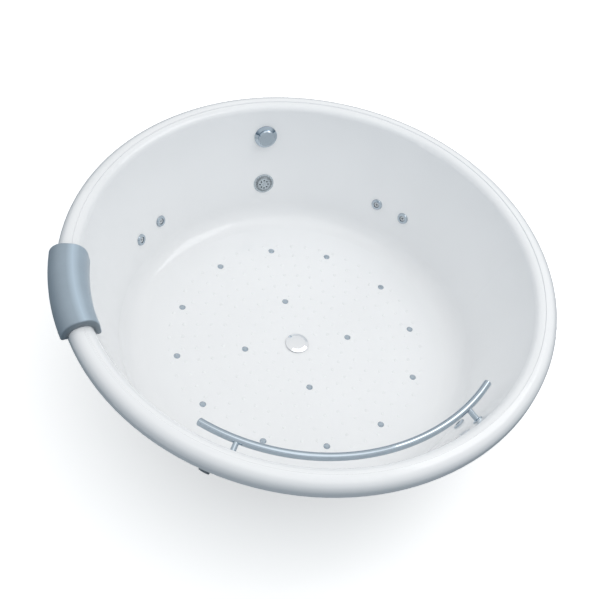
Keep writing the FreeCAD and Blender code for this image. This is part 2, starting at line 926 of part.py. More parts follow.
def trap_top():
    """The trap hangs under the waste body, with room for its nut between them."""
    return waste_body_top() - S.waste_body_length - S.union_nut_length - S.trap_nut_room


def waste_body():
    """The cup under the floor: the overflow pipe enters its side and the trap takes its foot."""
    top = waste_body_top()
    bottom = top - S.waste_body_length
    inner = S.waste_neck_radius + S.fit_gap
    outer = inner + S.waste_body_wall
    drain = S.waste_outlet_radius - S.trap_wall
    outline = [
        (inner, top),
        (outer, top),
        (outer, bottom),
        (S.waste_outlet_radius, bottom),
        (S.waste_outlet_radius, bottom - S.waste_outlet_length),
        (drain, bottom - S.waste_outlet_length),
        (drain, bottom + S.waste_body_wall),
        (inner, bottom + S.waste_body_wall),
    ]
    cup = turned("waste_cup", outline)
    sideways = Rotation(Vector(0, 0, 1), polar(1, S.overflow_pipe_azimuth.value))
    centre = Placement(Vector(0, 0, OVERFLOW_PIPE_HEIGHT.value), sideways)
    inlet = cylinder("waste_inlet", S.overflow_pipe_radius, outer + S.waste_inlet_length, centre)
    bore = S.overflow_pipe_radius - S.overflow_pipe_wall
    inlet_bore = cylinder("waste_inlet_bore", bore, outer * 2, centre)
    inside = turned("waste_room", [
        (size(0), bottom + S.waste_body_wall),
        (inner, bottom + S.waste_body_wall),
        (inner, top),
        (size(0), top),
    ])
    return cut("waste_body", fused("waste_body_blank", [cup, inlet]), [inside, inlet_bore])


def waste_trap():
    """A low drum trap: the waste's tail dips into it and its outlet leaves near its lid."""
    tail = S.waste_outlet_radius + S.fit_gap
    top = trap_top()
    low = top - S.trap_height
    wall = S.trap_wall
    outline = [
        (tail, top),
        (S.trap_radius, top),
        (S.trap_radius, low),
        (size(0), low),
        (size(0), low + wall),
        (S.trap_radius - wall, low + wall),
        (S.trap_radius - wall, top - wall),
        (tail, top - wall),
    ]
    drum = turned("trap_drum", outline)
    sideways = Rotation(Vector(0, 0, 1), Vector(1, 0, 0))
    height = (top - wall * 2 - S.trap_outlet_radius).value
    start = Placement(Vector((S.trap_radius - wall * 2 / 3).value, 0, height), sideways)
    neck = cylinder("trap_neck", S.trap_neck_radius, S.trap_neck_length + wall, start)
    spigot_start = shifted(start, 0, 0, S.trap_neck_length.value)
    spigot_length = S.trap_outlet_length - S.trap_neck_length
    spigot = cylinder("trap_outlet", S.trap_outlet_radius, spigot_length, spigot_start)
    bore = cylinder("trap_outlet_bore", S.trap_outlet_radius - wall, S.trap_outlet_length * 2)
    bore.Placement = shifted(start, 0, 0, -S.trap_outlet_length.value / 4)
    return cut("waste_trap", fused("waste_trap_blank", [drum, neck, spigot]), [bore])


# ---------------------------------------------------------------- overflow


def overflow_rosette():
    """The chrome ring on the wall round the knob, its neck gripped by the body behind."""
    bore = S.overflow_hole_radius - S.overflow_rosette_wall
    seat = wall_seat(S.overflow_rosette_radius, S.overflow_depth)
    front = seat + S.overflow_rosette_thickness
    neck_end = -S.shell_wall - S.fit_gap - S.overflow_rosette_grip
    outline = [
        (bore, neck_end),
        (S.overflow_hole_radius, neck_end),
        (S.overflow_hole_radius, seat),
        (S.overflow_rosette_radius, seat),
        (S.overflow_rosette_radius, seat + S.overflow_rosette_edge),
        (S.overflow_knob_radius, front),
        (bore, front),
    ]
    body = turned("overflow_rosette", outline)
    body.Placement = OVERFLOW_FRAME
    return body


def overflow_knob():
    """The knob that works the waste, with its spindle."""
    back = S.overflow_knob_base
    front = back + S.overflow_knob_height
    inner = S.overflow_spindle_radius
    outline = [
        (size(0), -S.overflow_body_length),
        (inner, -S.overflow_body_length),
        (inner, back),
        (S.overflow_knob_radius, back),
        (S.overflow_knob_radius, front - S.overflow_knob_bevel),
        (S.overflow_knob_radius - S.overflow_knob_bevel, front),
        (size(0), front),
    ]
    body = turned("overflow_knob", outline)
    body.Placement = OVERFLOW_FRAME
    return body


OVERFLOW_SIDE = Rotation(Vector(0, 0, 1), Vector(-1, 0, 0))


def overflow_body():
    """The cup behind the wall that carries the spindle and leads off the overflow water."""
    mouth = -S.shell_wall - S.fit_gap
    end = mouth - S.overflow_body_length
    inner = S.overflow_hole_radius + S.fit_gap
    wall = S.overflow_neck_wall
    boss = S.overflow_spindle_radius + S.shaft_clearance
    outline = [
        (inner, mouth),
        (S.overflow_body_radius, mouth),
        (S.overflow_body_radius, end),
        (boss, end),
        (boss, end + wall * 4),
        (boss + wall, end + wall * 4),
        (boss + wall, end + wall),
        (inner, end + wall),
    ]
    cup = turned("overflow_cup", outline)
    start = Placement(Vector(-inner.value - 1, 0, overflow_spigot_depth().value), OVERFLOW_SIDE)
    length = S.overflow_body_radius - inner + S.overflow_spigot_length
    spigot = cylinder("overflow_spigot", S.overflow_pipe_radius, length, start)
    body = fused("overflow_body", [cup, spigot])
    body.Placement = OVERFLOW_FRAME
    return body


def overflow_spigot_depth():
    return -S.shell_wall - S.fit_gap - S.overflow_body_length / 2


def overflow_pipe():
    """From the overflow body down outside the shell and under it to the waste body."""
    azimuth = S.overflow_pipe_azimuth.value
    out = OVERFLOW_PIPE_RADIUS_OUT.value
    low = OVERFLOW_PIPE_HEIGHT.value
    radius = S.overflow_pipe_radius
    along = -(S.overflow_body_radius + S.overflow_spigot_length + 1)
    start = on_frame(OVERFLOW_FRAME, along, 0, overflow_spigot_depth())
    side = OVERFLOW_FRAME.Rotation.multVec(Vector(-1, 0, 0))
    inner = (S.waste_neck_radius + S.fit_gap + S.waste_body_wall).value
    route = [
        start,
        start + side * 60,
        polar(out, azimuth, (RIM_HEIGHT - S.overflow_pipe_bend_depth).value),
        polar(OVERFLOW_PIPE_LOW_RADIUS.value, azimuth, low),
        polar(inner + S.waste_inlet_length.value, azimuth, low),
    ]
    return shape_node("overflow_pipe", pipe_along(mitred_route(route, radius.value * 1.5), radius))


# ---------------------------------------------------------------- suction


def suction_cover():
    """The guard over the suction hole, with a ring of holes too small for fingers or hair."""
    bore = S.suction_hole_radius - S.overflow_neck_wall
    seat = wall_seat(S.suction_cover_radius, S.suction_depth)
    front = seat + S.suction_cover_thickness
    outline = [
        (bore, -S.shell_wall * 2),
        (S.suction_hole_radius, -S.shell_wall * 2),
        (S.suction_hole_radius, seat),
        (S.suction_cover_radius, seat),
        (S.suction_guard_radius, front),
        (S.suction_guard_radius - S.suction_guard_bevel, front + S.suction_guard_height),
        (size(0), front + S.suction_guard_height),
        (size(0), front),
        (bore, front),
    ]
    disc = turned("suction_disc", outline)
    holes = []
    for index in range(int(S.suction_slot_count.value)):
        azimuth = 360 / S.suction_slot_count.value * index
        place = polar(S.suction_slot_circle.value, azimuth)
        rod = cylinder("suction_hole_%d" % index, S.suction_slot_radius, S.drill_length)
        rod.Placement = Placement(place - Vector(0, 0, 1), Rotation())
        holes.append(rod)
    cover = cut("suction_cover", disc, holes)
    cover.Placement = SUCTION_FRAME
    return cover


def suction_turn_point():
    """Where the suction body's axis crosses the line of the pump's suction pipe."""
    start = SUCTION_FRAME.Base
    inward = SUCTION_FRAME.Rotation.multVec(Vector(0, 0, 1))
    reach = (pump_line_radius() - start.y) / -inward.y
    return start - inward * reach, reach


def suction_body():
    """The elbow behind the wall, down to the suction pipe."""
    corner, reach = suction_turn_point()
    mouth = S.shell_wall + S.fit_gap
    radius = S.suction_body_radius
    back = Placement(Vector(), Rotation(Vector(0, 0, 1), Vector(0, 0, -1)))
    neck = cylinder("suction_neck", radius, Size(reach) - mouth + radius * 0.7)
    neck.Placement = shifted(SUCTION_FRAME, 0, 0, -mouth) * back
    drop = Placement(Vector(corner.x, corner.y, SUCTION_SPIGOT_HEIGHT.value), Rotation())
    leg = cylinder("suction_leg", radius - 2, Size(corner.z) - SUCTION_SPIGOT_HEIGHT, drop)
    socket = cylinder("suction_socket", S.suction_hole_radius + S.fit_gap, Size(reach))
    socket.Placement = SUCTION_FRAME * back
    bore = cylinder("suction_bore", S.suction_hole_radius - 4, Size(corner.z))
    bore.Placement = Placement(Vector(corner.x, corner.y, 0), Rotation())
    return cut("suction_body", fused("suction_blank", [neck, leg]), [socket, bore])


def suction_pipe():
    corner, _ = suction_turn_point()
    route = [
        Vector(corner.x, corner.y, SUCTION_SPIGOT_HEIGHT.value),
        Vector(corner.x, corner.y, S.pump_axis_height.value),
        pump_point(S.pump_inlet_start, 0, S.pump_axis_height),
    ]
    bend = S.suction_pipe_radius.value * 1.8
    pipe = pipe_along(mitred_route(route, bend), S.suction_pipe_radius)
    return shape_node("suction_pipe", pipe)


# ---------------------------------------------------------------- pump


def pump_line_radius():
    """The pump's line starts this far out, so that its outlet stands under the water ring."""
    along = S.pump_outlet_position.value
    turn = math.radians(S.pump_turn.value)
    ring = water_ring_radius().value
    return along * math.sin(turn) + math.sqrt(ring ** 2 - (along * math.cos(turn)) ** 2)


def pump_frame():
    """X runs along the pump's shaft, from its inlet to its fan, at floor level."""
    return Placement(
        Vector(0, pump_line_radius(), 0), Rotation(Vector(0, 0, 1), -S.pump_turn.value)
    )


def pump_point(x, y, z):
    return on_frame(pump_frame(), x, y, z)


def shaft_frame():
    """Z runs along the pump's shaft, from its inlet to its fan."""
    return shifted(pump_frame(), 0, 0, S.pump_axis_height) * Placement(
        Vector(), Rotation(Vector(0, 0, 1), Vector(1, 0, 0))
    )


def pressure_pipe_top():
    return WATER_RING_HEIGHT - S.water_ring_tube - 12


def pump_wet_end():
    """The volute, with the inlet at its end and the outlet on top."""
    chamber_low = S.pump_wet_start + S.pump_chamber_wall
    outline = [
        (S.pump_eye_radius, S.pump_inlet_start),
        (S.pump_inlet_radius, S.pump_inlet_start),
        (S.pump_inlet_radius, S.pump_wet_start),
        (S.pump_wet_radius, S.pump_wet_start),
        (S.pump_wet_radius, S.pump_wet_end),
        (S.pump_chamber_radius, S.pump_wet_end),
        (S.pump_chamber_radius, chamber_low),
        (S.pump_eye_radius, chamber_low),
    ]
    volute = turned("pump_volute", outline)
    volute.Placement = shaft_frame()
    stand = Placement(pump_point(S.pump_outlet_position, 0, S.pump_axis_height), Rotation())
    rise = S.pump_outlet_height - S.pump_axis_height
    outlet = cylinder("pump_outlet", S.pump_outlet_radius, rise, stand)
    inner = S.pump_outlet_radius - S.pump_outlet_wall
    bore = cylinder("pump_outlet_bore", inner, S.pump_outlet_height, stand)
    room = cylinder("pump_room", S.pump_chamber_radius, S.pump_wet_end - chamber_low)
    room.Placement = shifted(shaft_frame(), 0, 0, chamber_low)
    return cut("pump_wet_end", fused("pump_wet_blank", [volute, outlet]), [bore, room])


def pump_motor():
    """The finned motor and its mounting plate, bored for the shaft."""
    start = S.pump_wet_end + S.fit_gap
    plate = S.pump_chamber_wall
    bore = S.pump_shaft_radius + S.shaft_clearance
    end = start + S.pump_motor_length
    outline = [
        (bore, start),
        (S.pump_wet_radius, start),
        (S.pump_wet_radius, start + plate),
        (S.pump_motor_radius, start + plate),
        (S.pump_motor_radius, end),
        (bore, end),
    ]
    case = turned("pump_case", outline)
    case.Placement = shaft_frame()
    pieces = [case]
    ribs = int(S.pump_rib_count.value)
    rib_start = start + plate + S.pump_rib_start
    sunk = (S.pump_motor_radius - S.pump_rib_sink).value
    for index in range(ribs):
        rib = doc.addObject("Part::Box", "pump_rib_%d" % index)
        bind(rib, "Length", S.pump_rib_height + S.pump_rib_sink)
        bind(rib, "Width", S.pump_rib_width)
        bind(rib, "Height", end - rib_start - S.pump_rib_end)
        turn = Placement(Vector(), Rotation(Vector(0, 0, 1), 360 / ribs * index))
        offset = Placement(Vector(sunk, -S.pump_rib_width.value / 2, 0), Rotation())
        rib.Placement = shifted(shaft_frame(), 0, 0, rib_start) * turn * offset
        pieces.append(rib)
    return fused("pump_motor", pieces)


def pump_rotor():
    """The shaft with the impeller at one end and the cooling fan at the other."""
    impeller = S.pump_wet_end - S.pump_impeller_gap - S.pump_impeller_thickness
    fan = S.pump_wet_end + S.fit_gap + S.pump_motor_length + S.pump_fan_gap
    nut = S.pump_shaft_radius + S.pump_nut_wall
    end = fan + S.pump_fan_thickness
    outline = [
        (size(0), impeller - S.pump_nut_length),
        (nut, impeller - S.pump_nut_length),
        (nut, impeller),
        (S.pump_impeller_radius, impeller),
        (S.pump_impeller_radius, impeller + S.pump_impeller_thickness),
        (S.pump_shaft_radius, impeller + S.pump_impeller_thickness),
        (S.pump_shaft_radius, fan),
        (S.pump_fan_radius / 2, fan),
        (S.pump_fan_radius / 2, end),
        (size(0), end),
    ]
    shaft = turned("pump_shaft", outline)
    shaft.Placement = shaft_frame()
    pieces = [shaft]
    vane = (S.pump_vane_start, S.pump_impeller_radius, impeller - S.pump_vane_height)
    blade = (S.pump_fan_blade_start, S.pump_fan_radius, fan)
    count = int(S.pump_blade_count.value)
    for index in range(count):
        for name, (inner, outer, low), height in (
            ("vane", vane, S.pump_vane_height),
            ("blade", blade, S.pump_fan_thickness),
        ):
            fin = doc.addObject("Part::Box", "pump_%s_%d" % (name, index))
            bind(fin, "Length", outer - inner)
            bind(fin, "Width", S.pump_vane_width)
            bind(fin, "Height", height)
            turn = Placement(Vector(), Rotation(Vector(0, 0, 1), 360 / count * index))
            offset = Vector(inner.value, -S.pump_vane_width.value / 2, 0)
            stand = shifted(shaft_frame(), 0, 0, low)
            fin.Placement = stand * turn * Placement(offset, Rotation())
            pieces.append(fin)
    return fused("pump_rotor", pieces)


def pump_fan_cover():
    """The cap over the cooling fan, with slots that let the air in."""
    start = S.pump_wet_end + S.fit_gap * 2 + S.pump_motor_length
    end = start + S.pump_fan_cover_length
    outer = S.pump_motor_radius
    inner = outer - S.pump_fan_cover_wall
    outline = [
        (inner, start),
        (outer, start),
        (outer, end),
        (size(0), end),
        (size(0), end - S.pump_fan_cover_wall),
        (inner, end - S.pump_fan_cover_wall),
    ]
    cap = turned("pump_cap", outline)
    cap.Placement = shaft_frame()
    slots = []
    count = int(S.pump_slot_count.value)
    first = -(S.pump_slot_pitch * (count - 1) / 2 + S.pump_slot_width / 2).value
    for index in range(count):
        slot = doc.addObject("Part::Box", "pump_slot_%d" % index)
        bind(slot, "Length", outer)
        bind(slot, "Width", S.pump_slot_width)
        bind(slot, "Height", S.pump_fan_cover_wall * 3)
        along = first + S.pump_slot_pitch.value * index
        offset = Vector(-outer.value / 2, along, -S.pump_fan_cover_wall.value * 2)
        slot.Placement = shifted(shaft_frame(), 0, 0, end) * Placement(offset, Rotation())
        slots.append(slot)
    return cut("pump_fan_cover", cap, slots)


def in_pump_frame(block, corner):
    """Sets a block down in the pump's frame, at its lowest corner."""
    block.Placement = shifted(pump_frame(), *corner)
    return block


def pump_block(name, extent, corner):
    block = doc.addObject("Part::Box", name)
    for prop, side in zip(("Length", "Width", "Height"), extent):
        bind(block, prop, side)
    return in_pump_frame(block, corner)


def pump_foot():
    """The bent plate that the motor is strapped to."""
    length = S.pump_foot_length
    width = S.pump_foot_width
    low = S.tray_height + S.tray_sheet + S.pump_mount_height
    start = S.pump_wet_end + S.pump_foot_start
    plate = pump_block(
        "pump_foot_plate", (length, width, S.pump_foot_thickness), (start, -width / 2, low)
    )
    saddle_height = S.pump_axis_height - low - S.pump_foot_thickness
    pieces = [plate]
    for index, place in enumerate((start, start + length - S.pump_foot_thickness)):
        pieces.append(
            pump_block(
                "pump_saddle_%d" % index,
                (S.pump_foot_thickness, width * 0.8, saddle_height),
                (place, -width * 0.4, low + S.pump_foot_thickness),
            )
        )
    clear = S.pump_motor_radius + S.pump_rib_height + S.fit_gap
    groove = cylinder("pump_saddle_cut", clear, length * 2)
    groove.Placement = shifted(shaft_frame(), 0, 0, start - length / 2)
    return cut("pump_foot", fused("pump_foot_blank", pieces), [groove])


def pump_mount_places():
    """The four corners of the pump's foot, in the pump's frame."""
    start = (S.pump_wet_end + S.pump_foot_start).value
    inset = S.pump_mount_radius.value + 2
    across = S.pump_foot_width.value / 2 - inset
    along = (start + inset, start + S.pump_foot_length.value - inset)
    return [(x, y) for x in along for y in (-across, across)]


def pump_mount_frames():
    low = S.tray_height + S.tray_sheet
    return [shifted(pump_frame(), x, y, low) for x, y in pump_mount_places()]


def pump_terminal_box():
    """The wiring box on top of the motor."""
    start = S.pump_wet_end + S.pump_box_start
    low = S.pump_axis_height + S.pump_motor_radius + S.pump_rib_height
    extent = (S.pump_box_length, S.pump_box_width, S.pump_box_height)
    return pump_block("pump_terminal_box", extent, (start, -S.pump_box_width / 2, low))


def union_nuts():
    """The nuts at the pump's two ports and at the waste's tail."""
    wall = S.union_nut_wall
    length = S.union_nut_length
    nuts = []
    for name, bore, low, frame in (
        ("inlet_nut", S.pump_inlet_radius, S.pump_inlet_start + 2, shaft_frame()),
        ("outlet_nut", S.pump_outlet_radius, S.pump_outlet_height - length - 1, outlet_frame()),
        ("trap_nut", S.waste_outlet_radius, trap_top() + S.fit_gap, Placement()),
    ):
        inner = bore + S.fit_gap
        nut = turned(name, ring_outline(inner, inner + wall, low, low + length))
        nut.Placement = frame
        nuts.append(nut)
    return grouped("union_nuts", nuts)


def outlet_frame():
    return Placement(pump_point(S.pump_outlet_position, 0, 0), Rotation())


def pressure_pipe():
    """The riser from the pump's outlet to the water ring."""
    start = shifted(outlet_frame(), 0, 0, S.pump_outlet_height)
    return cylinder(
        "pressure_pipe", S.pump_outlet_radius - 3, pressure_pipe_top() - S.pump_outlet_height, start
    )


# ---------------------------------------------------------------- blower


def blower_tray_frame():
    """X runs from the frame's arm out along the blower's tray."""
    place = Vector(-FRAME_SPACING.value, FRAME_ARM_END.value, 0)
    return Placement(place, Rotation(Vector(0, 0, 1), S.blower_tray_turn.value))


def blower_frame():
    """The blower's upright axis, at the tray's top."""
    height = S.tray_height + S.tray_sheet
    return shifted(blower_tray_frame(), S.blower_offset, S.blower_side_shift, height)


def blower_base():
    """The lower half of the blower, which carries the fan's bearing."""
    low = S.pump_mount_height
    bearing = S.blower_shaft_radius + S.shaft_clearance
    outline = [
        (bearing, low),
        (S.blower_radius, low),
        (S.blower_radius, low + S.blower_base_height),
        (S.blower_radius - S.blower_wall, low + S.blower_base_height),
        (S.blower_radius - S.blower_wall, low + S.blower_wall),
        (bearing + S.blower_wall * 2, low + S.blower_wall),
        (bearing + S.blower_wall * 2, low + S.blower_wall * 5),
        (bearing, low + S.blower_wall * 5),
    ]
    base = turned("blower_base", outline)
    base.Placement = blower_frame()
    return base


def blower_outlet_reach():
    """The outlet's distance from the blower's own axis, out along the bath's radius."""
    centre = blower_frame().Base
    return AIR_LOOP_RADIUS.value - math.hypot(centre.x, centre.y)


def blower_outlet_point(height):
    centre = blower_frame().Base
    outward = Vector(centre.x, centre.y, 0).normalize()
    place = centre + outward * blower_outlet_reach()
    return Vector(place.x, place.y, height)


def blower_top():
    low = S.tray_height + S.tray_sheet + S.pump_mount_height
    return low + S.blower_base_height + S.fit_gap + S.blower_cap_height


def blower_housing():
    """The domed upper half of the blower, with its outlet."""
    low = S.pump_mount_height + S.blower_base_height + S.fit_gap
    high = low + S.blower_cap_height
    inner = S.blower_radius - S.blower_wall
    outline = [
        (inner, low),
        (S.blower_radius, low),
        (S.blower_radius, high - S.blower_wall * 4),
        (S.blower_radius - S.blower_wall * 4, high),
        (size(0), high),
        (size(0), high - S.blower_wall),
        (inner - S.blower_wall * 3, high - S.blower_wall),
        (inner, high - S.blower_wall * 4),
    ]
    bell = turned("blower_bell", outline)
    bell.Placement = blower_frame()
    start = Placement(blower_outlet_point((blower_top() - S.blower_wall).value), Rotation())
    length = S.blower_outlet_length + S.blower_wall
    outlet = cylinder("blower_outlet", S.blower_outlet_radius, length, start)
    bore = cylinder("blower_outlet_bore", S.blower_outlet_radius - S.blower_wall, length * 2)
    bore.Placement = shifted(start, 0, 0, -length.value / 2)
    return cut("blower_housing", fused("blower_housing_blank", [bell, outlet]), [bore])


def blower_fan():
    """The fan wheel and its shaft."""
    low = S.pump_mount_height + S.blower_wall
    wheel = low + S.blower_wall * 5
    outline = [
        (size(0), low),
        (S.blower_shaft_radius, low),
        (S.blower_shaft_radius, wheel),
        (S.blower_fan_radius, wheel),
        (S.blower_fan_radius, wheel + S.blower_wall),
        (S.blower_shaft_radius * 2, wheel + S.blower_wall),
        (S.blower_shaft_radius * 2, wheel + S.blower_fan_thickness),
        (size(0), wheel + S.blower_fan_thickness),
    ]
    hub = turned("blower_wheel", outline)
    hub.Placement = blower_frame()
    pieces = [hub]
    blades = int(S.blower_fan_blade_count.value)
    length = S.blower_fan_radius - S.blower_blade_start - S.blower_blade_tip_gap
    corner = Vector(S.blower_blade_start.value, -S.blower_blade_thickness.value / 2, 0)
    lean = Rotation(Vector(0, 0, 1), S.blower_blade_turn.value)
    for index in range(blades):
        blade = doc.addObject("Part::Box", "blower_blade_%d" % index)
        bind(blade, "Length", length)
        bind(blade, "Width", S.blower_blade_thickness)
        bind(blade, "Height", S.blower_fan_thickness)
        turn = Placement(Vector(), Rotation(Vector(0, 0, 1), 360 / blades * index))
        blade.Placement = shifted(blower_frame(), 0, 0, wheel) * turn * Placement(corner, lean)
        pieces.append(blade)
    return fused("blower_fan", pieces)


def blower_mount_frames():
    circle = (S.blower_radius - S.pump_mount_radius - 4).value
    turns = [60 + 120 * index for index in range(3)]
    return [blower_frame() * Placement(polar(circle, turn), Rotation()) for turn in turns]


def rubber_mounts():
    """The soft blocks under the pump's foot and under the blower."""
    pattern = cylinder("rubber_mount_pattern", S.pump_mount_radius, S.pump_mount_height)
    return repeated("rubber_mounts", pattern, pump_mount_frames() + blower_mount_frames())


def air_loop_pipe():
    """Up from the blower to above the water line and down again, with a non-return valve."""
    top = (RIM_HEIGHT - S.air_loop_depth).value
    low = AIR_FEED_HEIGHT.value
    out = AIR_LOOP_RADIUS.value
    start = blower_outlet_point((blower_top() + S.blower_outlet_length).value)
    route = [
        start,
        Vector(start.x, start.y, top),
        polar(out, FEED_AZIMUTH, top),
        polar(out, FEED_AZIMUTH, low),
        polar(AIR_FEED_END_RADIUS.value, FEED_AZIMUTH, low),
    ]
    pipe = pipe_along(mitred_route(route, S.air_loop_bend.value), S.air_loop_pipe)
    frame = Placement(polar(out, FEED_AZIMUTH, S.check_valve_height.value), Rotation())
    valve = cylinder("check_valve", S.check_valve_radius, S.check_valve_length, frame)
    return fused("air_loop_pipe", [shape_node("air_loop_run", pipe), valve])


# ---------------------------------------------------------------- grab rail


def rail_centre():
    """The bar's centre line: its radius and its height."""
    out = wall_radius(S.rail_post_depth) - S.rail_standoff * cosine(S.wall_lean)
    up = RIM_HEIGHT - S.rail_post_depth + S.rail_standoff * sine(S.wall_lean)
    return out, up


def rail_torus(name):
    radius, height = rail_centre()
    bar = doc.addObject("Part::Torus", name)
    bind(bar, "Radius1", radius)
    bind(bar, "Radius2", S.rail_bar_radius)
    bind(bar, "Angle3", S.rail_half_span * 2)
    start = RAIL_AZIMUTH - S.rail_half_span.value
    bar.Placement = Placement(Vector(0, 0, height.value), Rotation(Vector(0, 0, 1), start))
    return bar


def grab_rail():
    """The bent bar, its ends bevelled."""
    bar = rail_torus("rail_bar")
    bar.recompute()
    ends = []
    for index, edge in enumerate(bar.Shape.Edges, start=1):
        if isinstance(edge.Curve, Part.Circle) and abs(edge.Curve.Axis.z) < 0.5:
            end = S.rail_end_bevel.value
            ends.append((index, end, end))
    rail = doc.addObject("Part::Chamfer", "grab_rail")
    rail.Base = bar
    rail.Edges = ends
    return rail


def rail_posts():
    """The posts: studs through the wall, saddled to the bar at their other end."""
    outline = [
        (size(0), -S.shell_wall * 3),
        (S.rail_stud_radius, -S.shell_wall * 3),
        (S.rail_stud_radius, S.fit_gap),
        (S.rail_post_radius, S.fit_gap),
        (S.rail_post_radius, S.rail_standoff),
        (size(0), S.rail_standoff),
    ]
    blanks = repeated("rail_post_blanks", turned("rail_post_pattern", outline), RAIL_FRAMES)
    return cut("rail_posts", blanks, [rail_torus("rail_saddle")])


def rail_rosettes():
    inner = S.rail_post_radius + S.fit_gap
    low = wall_seat(S.rail_rosette_radius, S.rail_post_depth)
    outline = [
        (inner, low),
        (S.rail_rosette_radius, low),
        (S.rail_rosette_radius, low + S.rail_rosette_thickness / 2),
        (inner + 1, low + S.rail_rosette_thickness),
        (inner, low + S.rail_rosette_thickness),
    ]
    return repeated("rail_rosettes", turned("rail_rosette_pattern", outline), RAIL_FRAMES)


def rail_nuts():
    """A washer and a nut on each stud behind the wall."""
    bore = S.rail_stud_radius + S.fit_gap / 2
    back = -S.shell_wall - S.fit_gap - S.rail_washer_thickness
    front = back + S.rail_washer_thickness
    washer = turned("rail_washer", ring_outline(bore, S.rail_washer_radius, back, front))
    nut = hex_nut("rail_nut", S.rail_nut_flats, bore, S.rail_nut_thickness)
    washers = repeated("rail_washers", washer, RAIL_FRAMES)
    frames = [shifted(frame, 0, 0, back - S.rail_nut_thickness) for frame in RAIL_FRAMES]
    return grouped("rail_nuts", [washers, repeated("rail_nut_pair", nut, frames)])


# ---------------------------------------------------------------- headrest


def arc_corner(before, corner, after, radius):
    """The ends and the middle of an arc that rounds a corner of an outline."""
    into = (corner - before).normalize()
    out = (after - corner).normalize()
    turn = into.getAngle(out)
    setback = radius * math.tan(turn / 2)
    middle = corner + (out - into).normalize() * (radius / math.cos(turn / 2) - radius)
    return corner - into * setback, middle, corner + out * setback


def rounded_outline(corners):
    """A closed wire from corners, each a point and the radius that rounds it."""
    count = len(corners)
    pieces = []
    for index, (corner, radius) in enumerate(corners):
        before = corners[index - 1][0]
        after = corners[(index + 1) % count][0]
        if radius > 0:
            pieces.append(arc_corner(before, corner, after, radius))
        else:
            pieces.append((corner, None, corner))
    edges = []
    for index, (first, middle, last) in enumerate(pieces):
        if middle is not None:
            edges.append(Part.Arc(first, middle, last).toShape())
        following = pieces[(index + 1) % count][0]
        edges.append(Part.LineSegment(last, following).toShape())
    return Part.Wire(edges)


def headrest_section():
    """The cushion in section: an arch over the rim, fullest on the crown, drawn in at its tips."""
    top = RIM_HEIGHT.value
    lean = math.radians(S.wall_lean.value)
    gap = S.pad_gap.value
    reach = S.pad_inner_reach.value
    inner_tip = S.pad_inner_tip.value
    crown = top + gap
    high = crown + S.pad_thickness.value
    rim_side = S.rim_radius.value + gap
    outer_side = rim_side + S.pad_outer_tip.value
    low = top - S.pad_outer_reach.value

    def wall_side(depth):
        return wall_radius(size(depth)).value - gap / math.cos(lean)

    inner_low = Vector(wall_side(reach), 0, top - reach)
    inner_front = inner_low + Vector(-math.cos(lean), 0, -math.sin(lean) * 0.3) * inner_tip
    return [
        (inner_low, 0),
        (inner_front, S.pad_tip_round.value),
        (Vector(inner_front.x + inner_tip * 0.8, 0, high), S.pad_crown_radius.value),
        (Vector(outer_side, 0, high), S.pad_crown_radius.value),
        (Vector(outer_side, 0, low), S.pad_tip_round.value),
        (Vector(rim_side, 0, low), 0),
        (Vector(rim_side, 0, crown), S.shoulder_radius.value),
        (Vector(wall_side(-gap), 0, crown), S.inner_edge_radius.value),
    ]


def headrest_pad():
    """The cushion: its section swept round the rim, its ends rounded, with rooms for the suckers."""
    half = S.pad_half_angle.value
    high = RIM_HEIGHT.value + S.pad_gap.value + S.pad_thickness.value
    face = Part.Face(rounded_outline(headrest_section()))
    face.rotate(Vector(), Vector(0, 0, 1), 180 - half)
    pad = face.revolve(Vector(), Vector(0, 0, 1), 2 * half)
    ends = []
    for edge in pad.Edges:
        middle = edge.valueAt((edge.FirstParameter + edge.LastParameter) / 2)
        on_end = abs(math.degrees(math.atan2(abs(middle.y), -middle.x)) - half) < 0.01
        if on_end and middle.z > high - 1:
            ends.append(edge)
    pad = pad.makeFillet(S.pad_end_round.value, ends)
    rooms = []
    for side in (-1, 1):
        azimuth = 180 + side * S.sucker_half_angle.value
        place = polar((S.rim_radius - S.sucker_inset).value, azimuth, RIM_HEIGHT.value)
        radius = (S.sucker_radius + S.fit_gap).value
        rooms.append(Part.makeCylinder(radius, (S.sucker_height + S.fit_gap * 2).value, place))
    return shape_node("headrest_pad", pad.cut(rooms))


def headrest_suckers():
    """The suction cups that hold the cushion to the rim."""
    low = S.fit_gap
    outline = [
        (size(0), low),
        (S.sucker_radius, low),
        (S.sucker_top_radius, low + S.sucker_height),
        (size(0), low + S.sucker_height),
    ]
    frames = []
    for side in (-1, 1):
        azimuth = 180 + side * S.sucker_half_angle.value
        place = polar((S.rim_radius - S.sucker_inset).value, azimuth, RIM_HEIGHT.value)
        frames.append(Placement(place, Rotation()))
    return repeated("headrest_suckers", turned("sucker_pattern", outline), frames)


# ---------------------------------------------------------------- base board, frame and feet


def base_board():
    """The stiffening board laminated under the floor, between the two air rings."""
    inner = S.inner_air_radius + S.board_inner_gap
    outer = S.outer_air_radius - S.board_outer_gap
    gap = S.fit_gap
    outline = [
        (inner, BOARD_BOTTOM),
        (outer, BOARD_BOTTOM),
        (outer, underside(outer) - gap),
        (inner, underside(inner) - gap),
    ]
    return turned("base_board", outline)


def square_tube(name, start, length, along):
    """The outside and the inside of a square tube along X or Y, from the middle of its start."""
    side = S.tube_side
    wall = S.tube_wall
    solids = []
    for part, width, inset in (("skin", side, size(0)), ("core", side - wall * 2, wall)):
        x, y, z = start
        if along == "X":
            corner = (x, y - width / 2, z + inset)
            extent = (length, width, width)
        elif along == "Y":
            corner = (x - width / 2, y, z + inset)
            extent = (width, length, width)
        else:
            corner = (x - width / 2, y - width / 2, z)
            extent = (width, width, length)
        solids.append(box("%s_%s" % (name, part), corner, extent))
    return solids


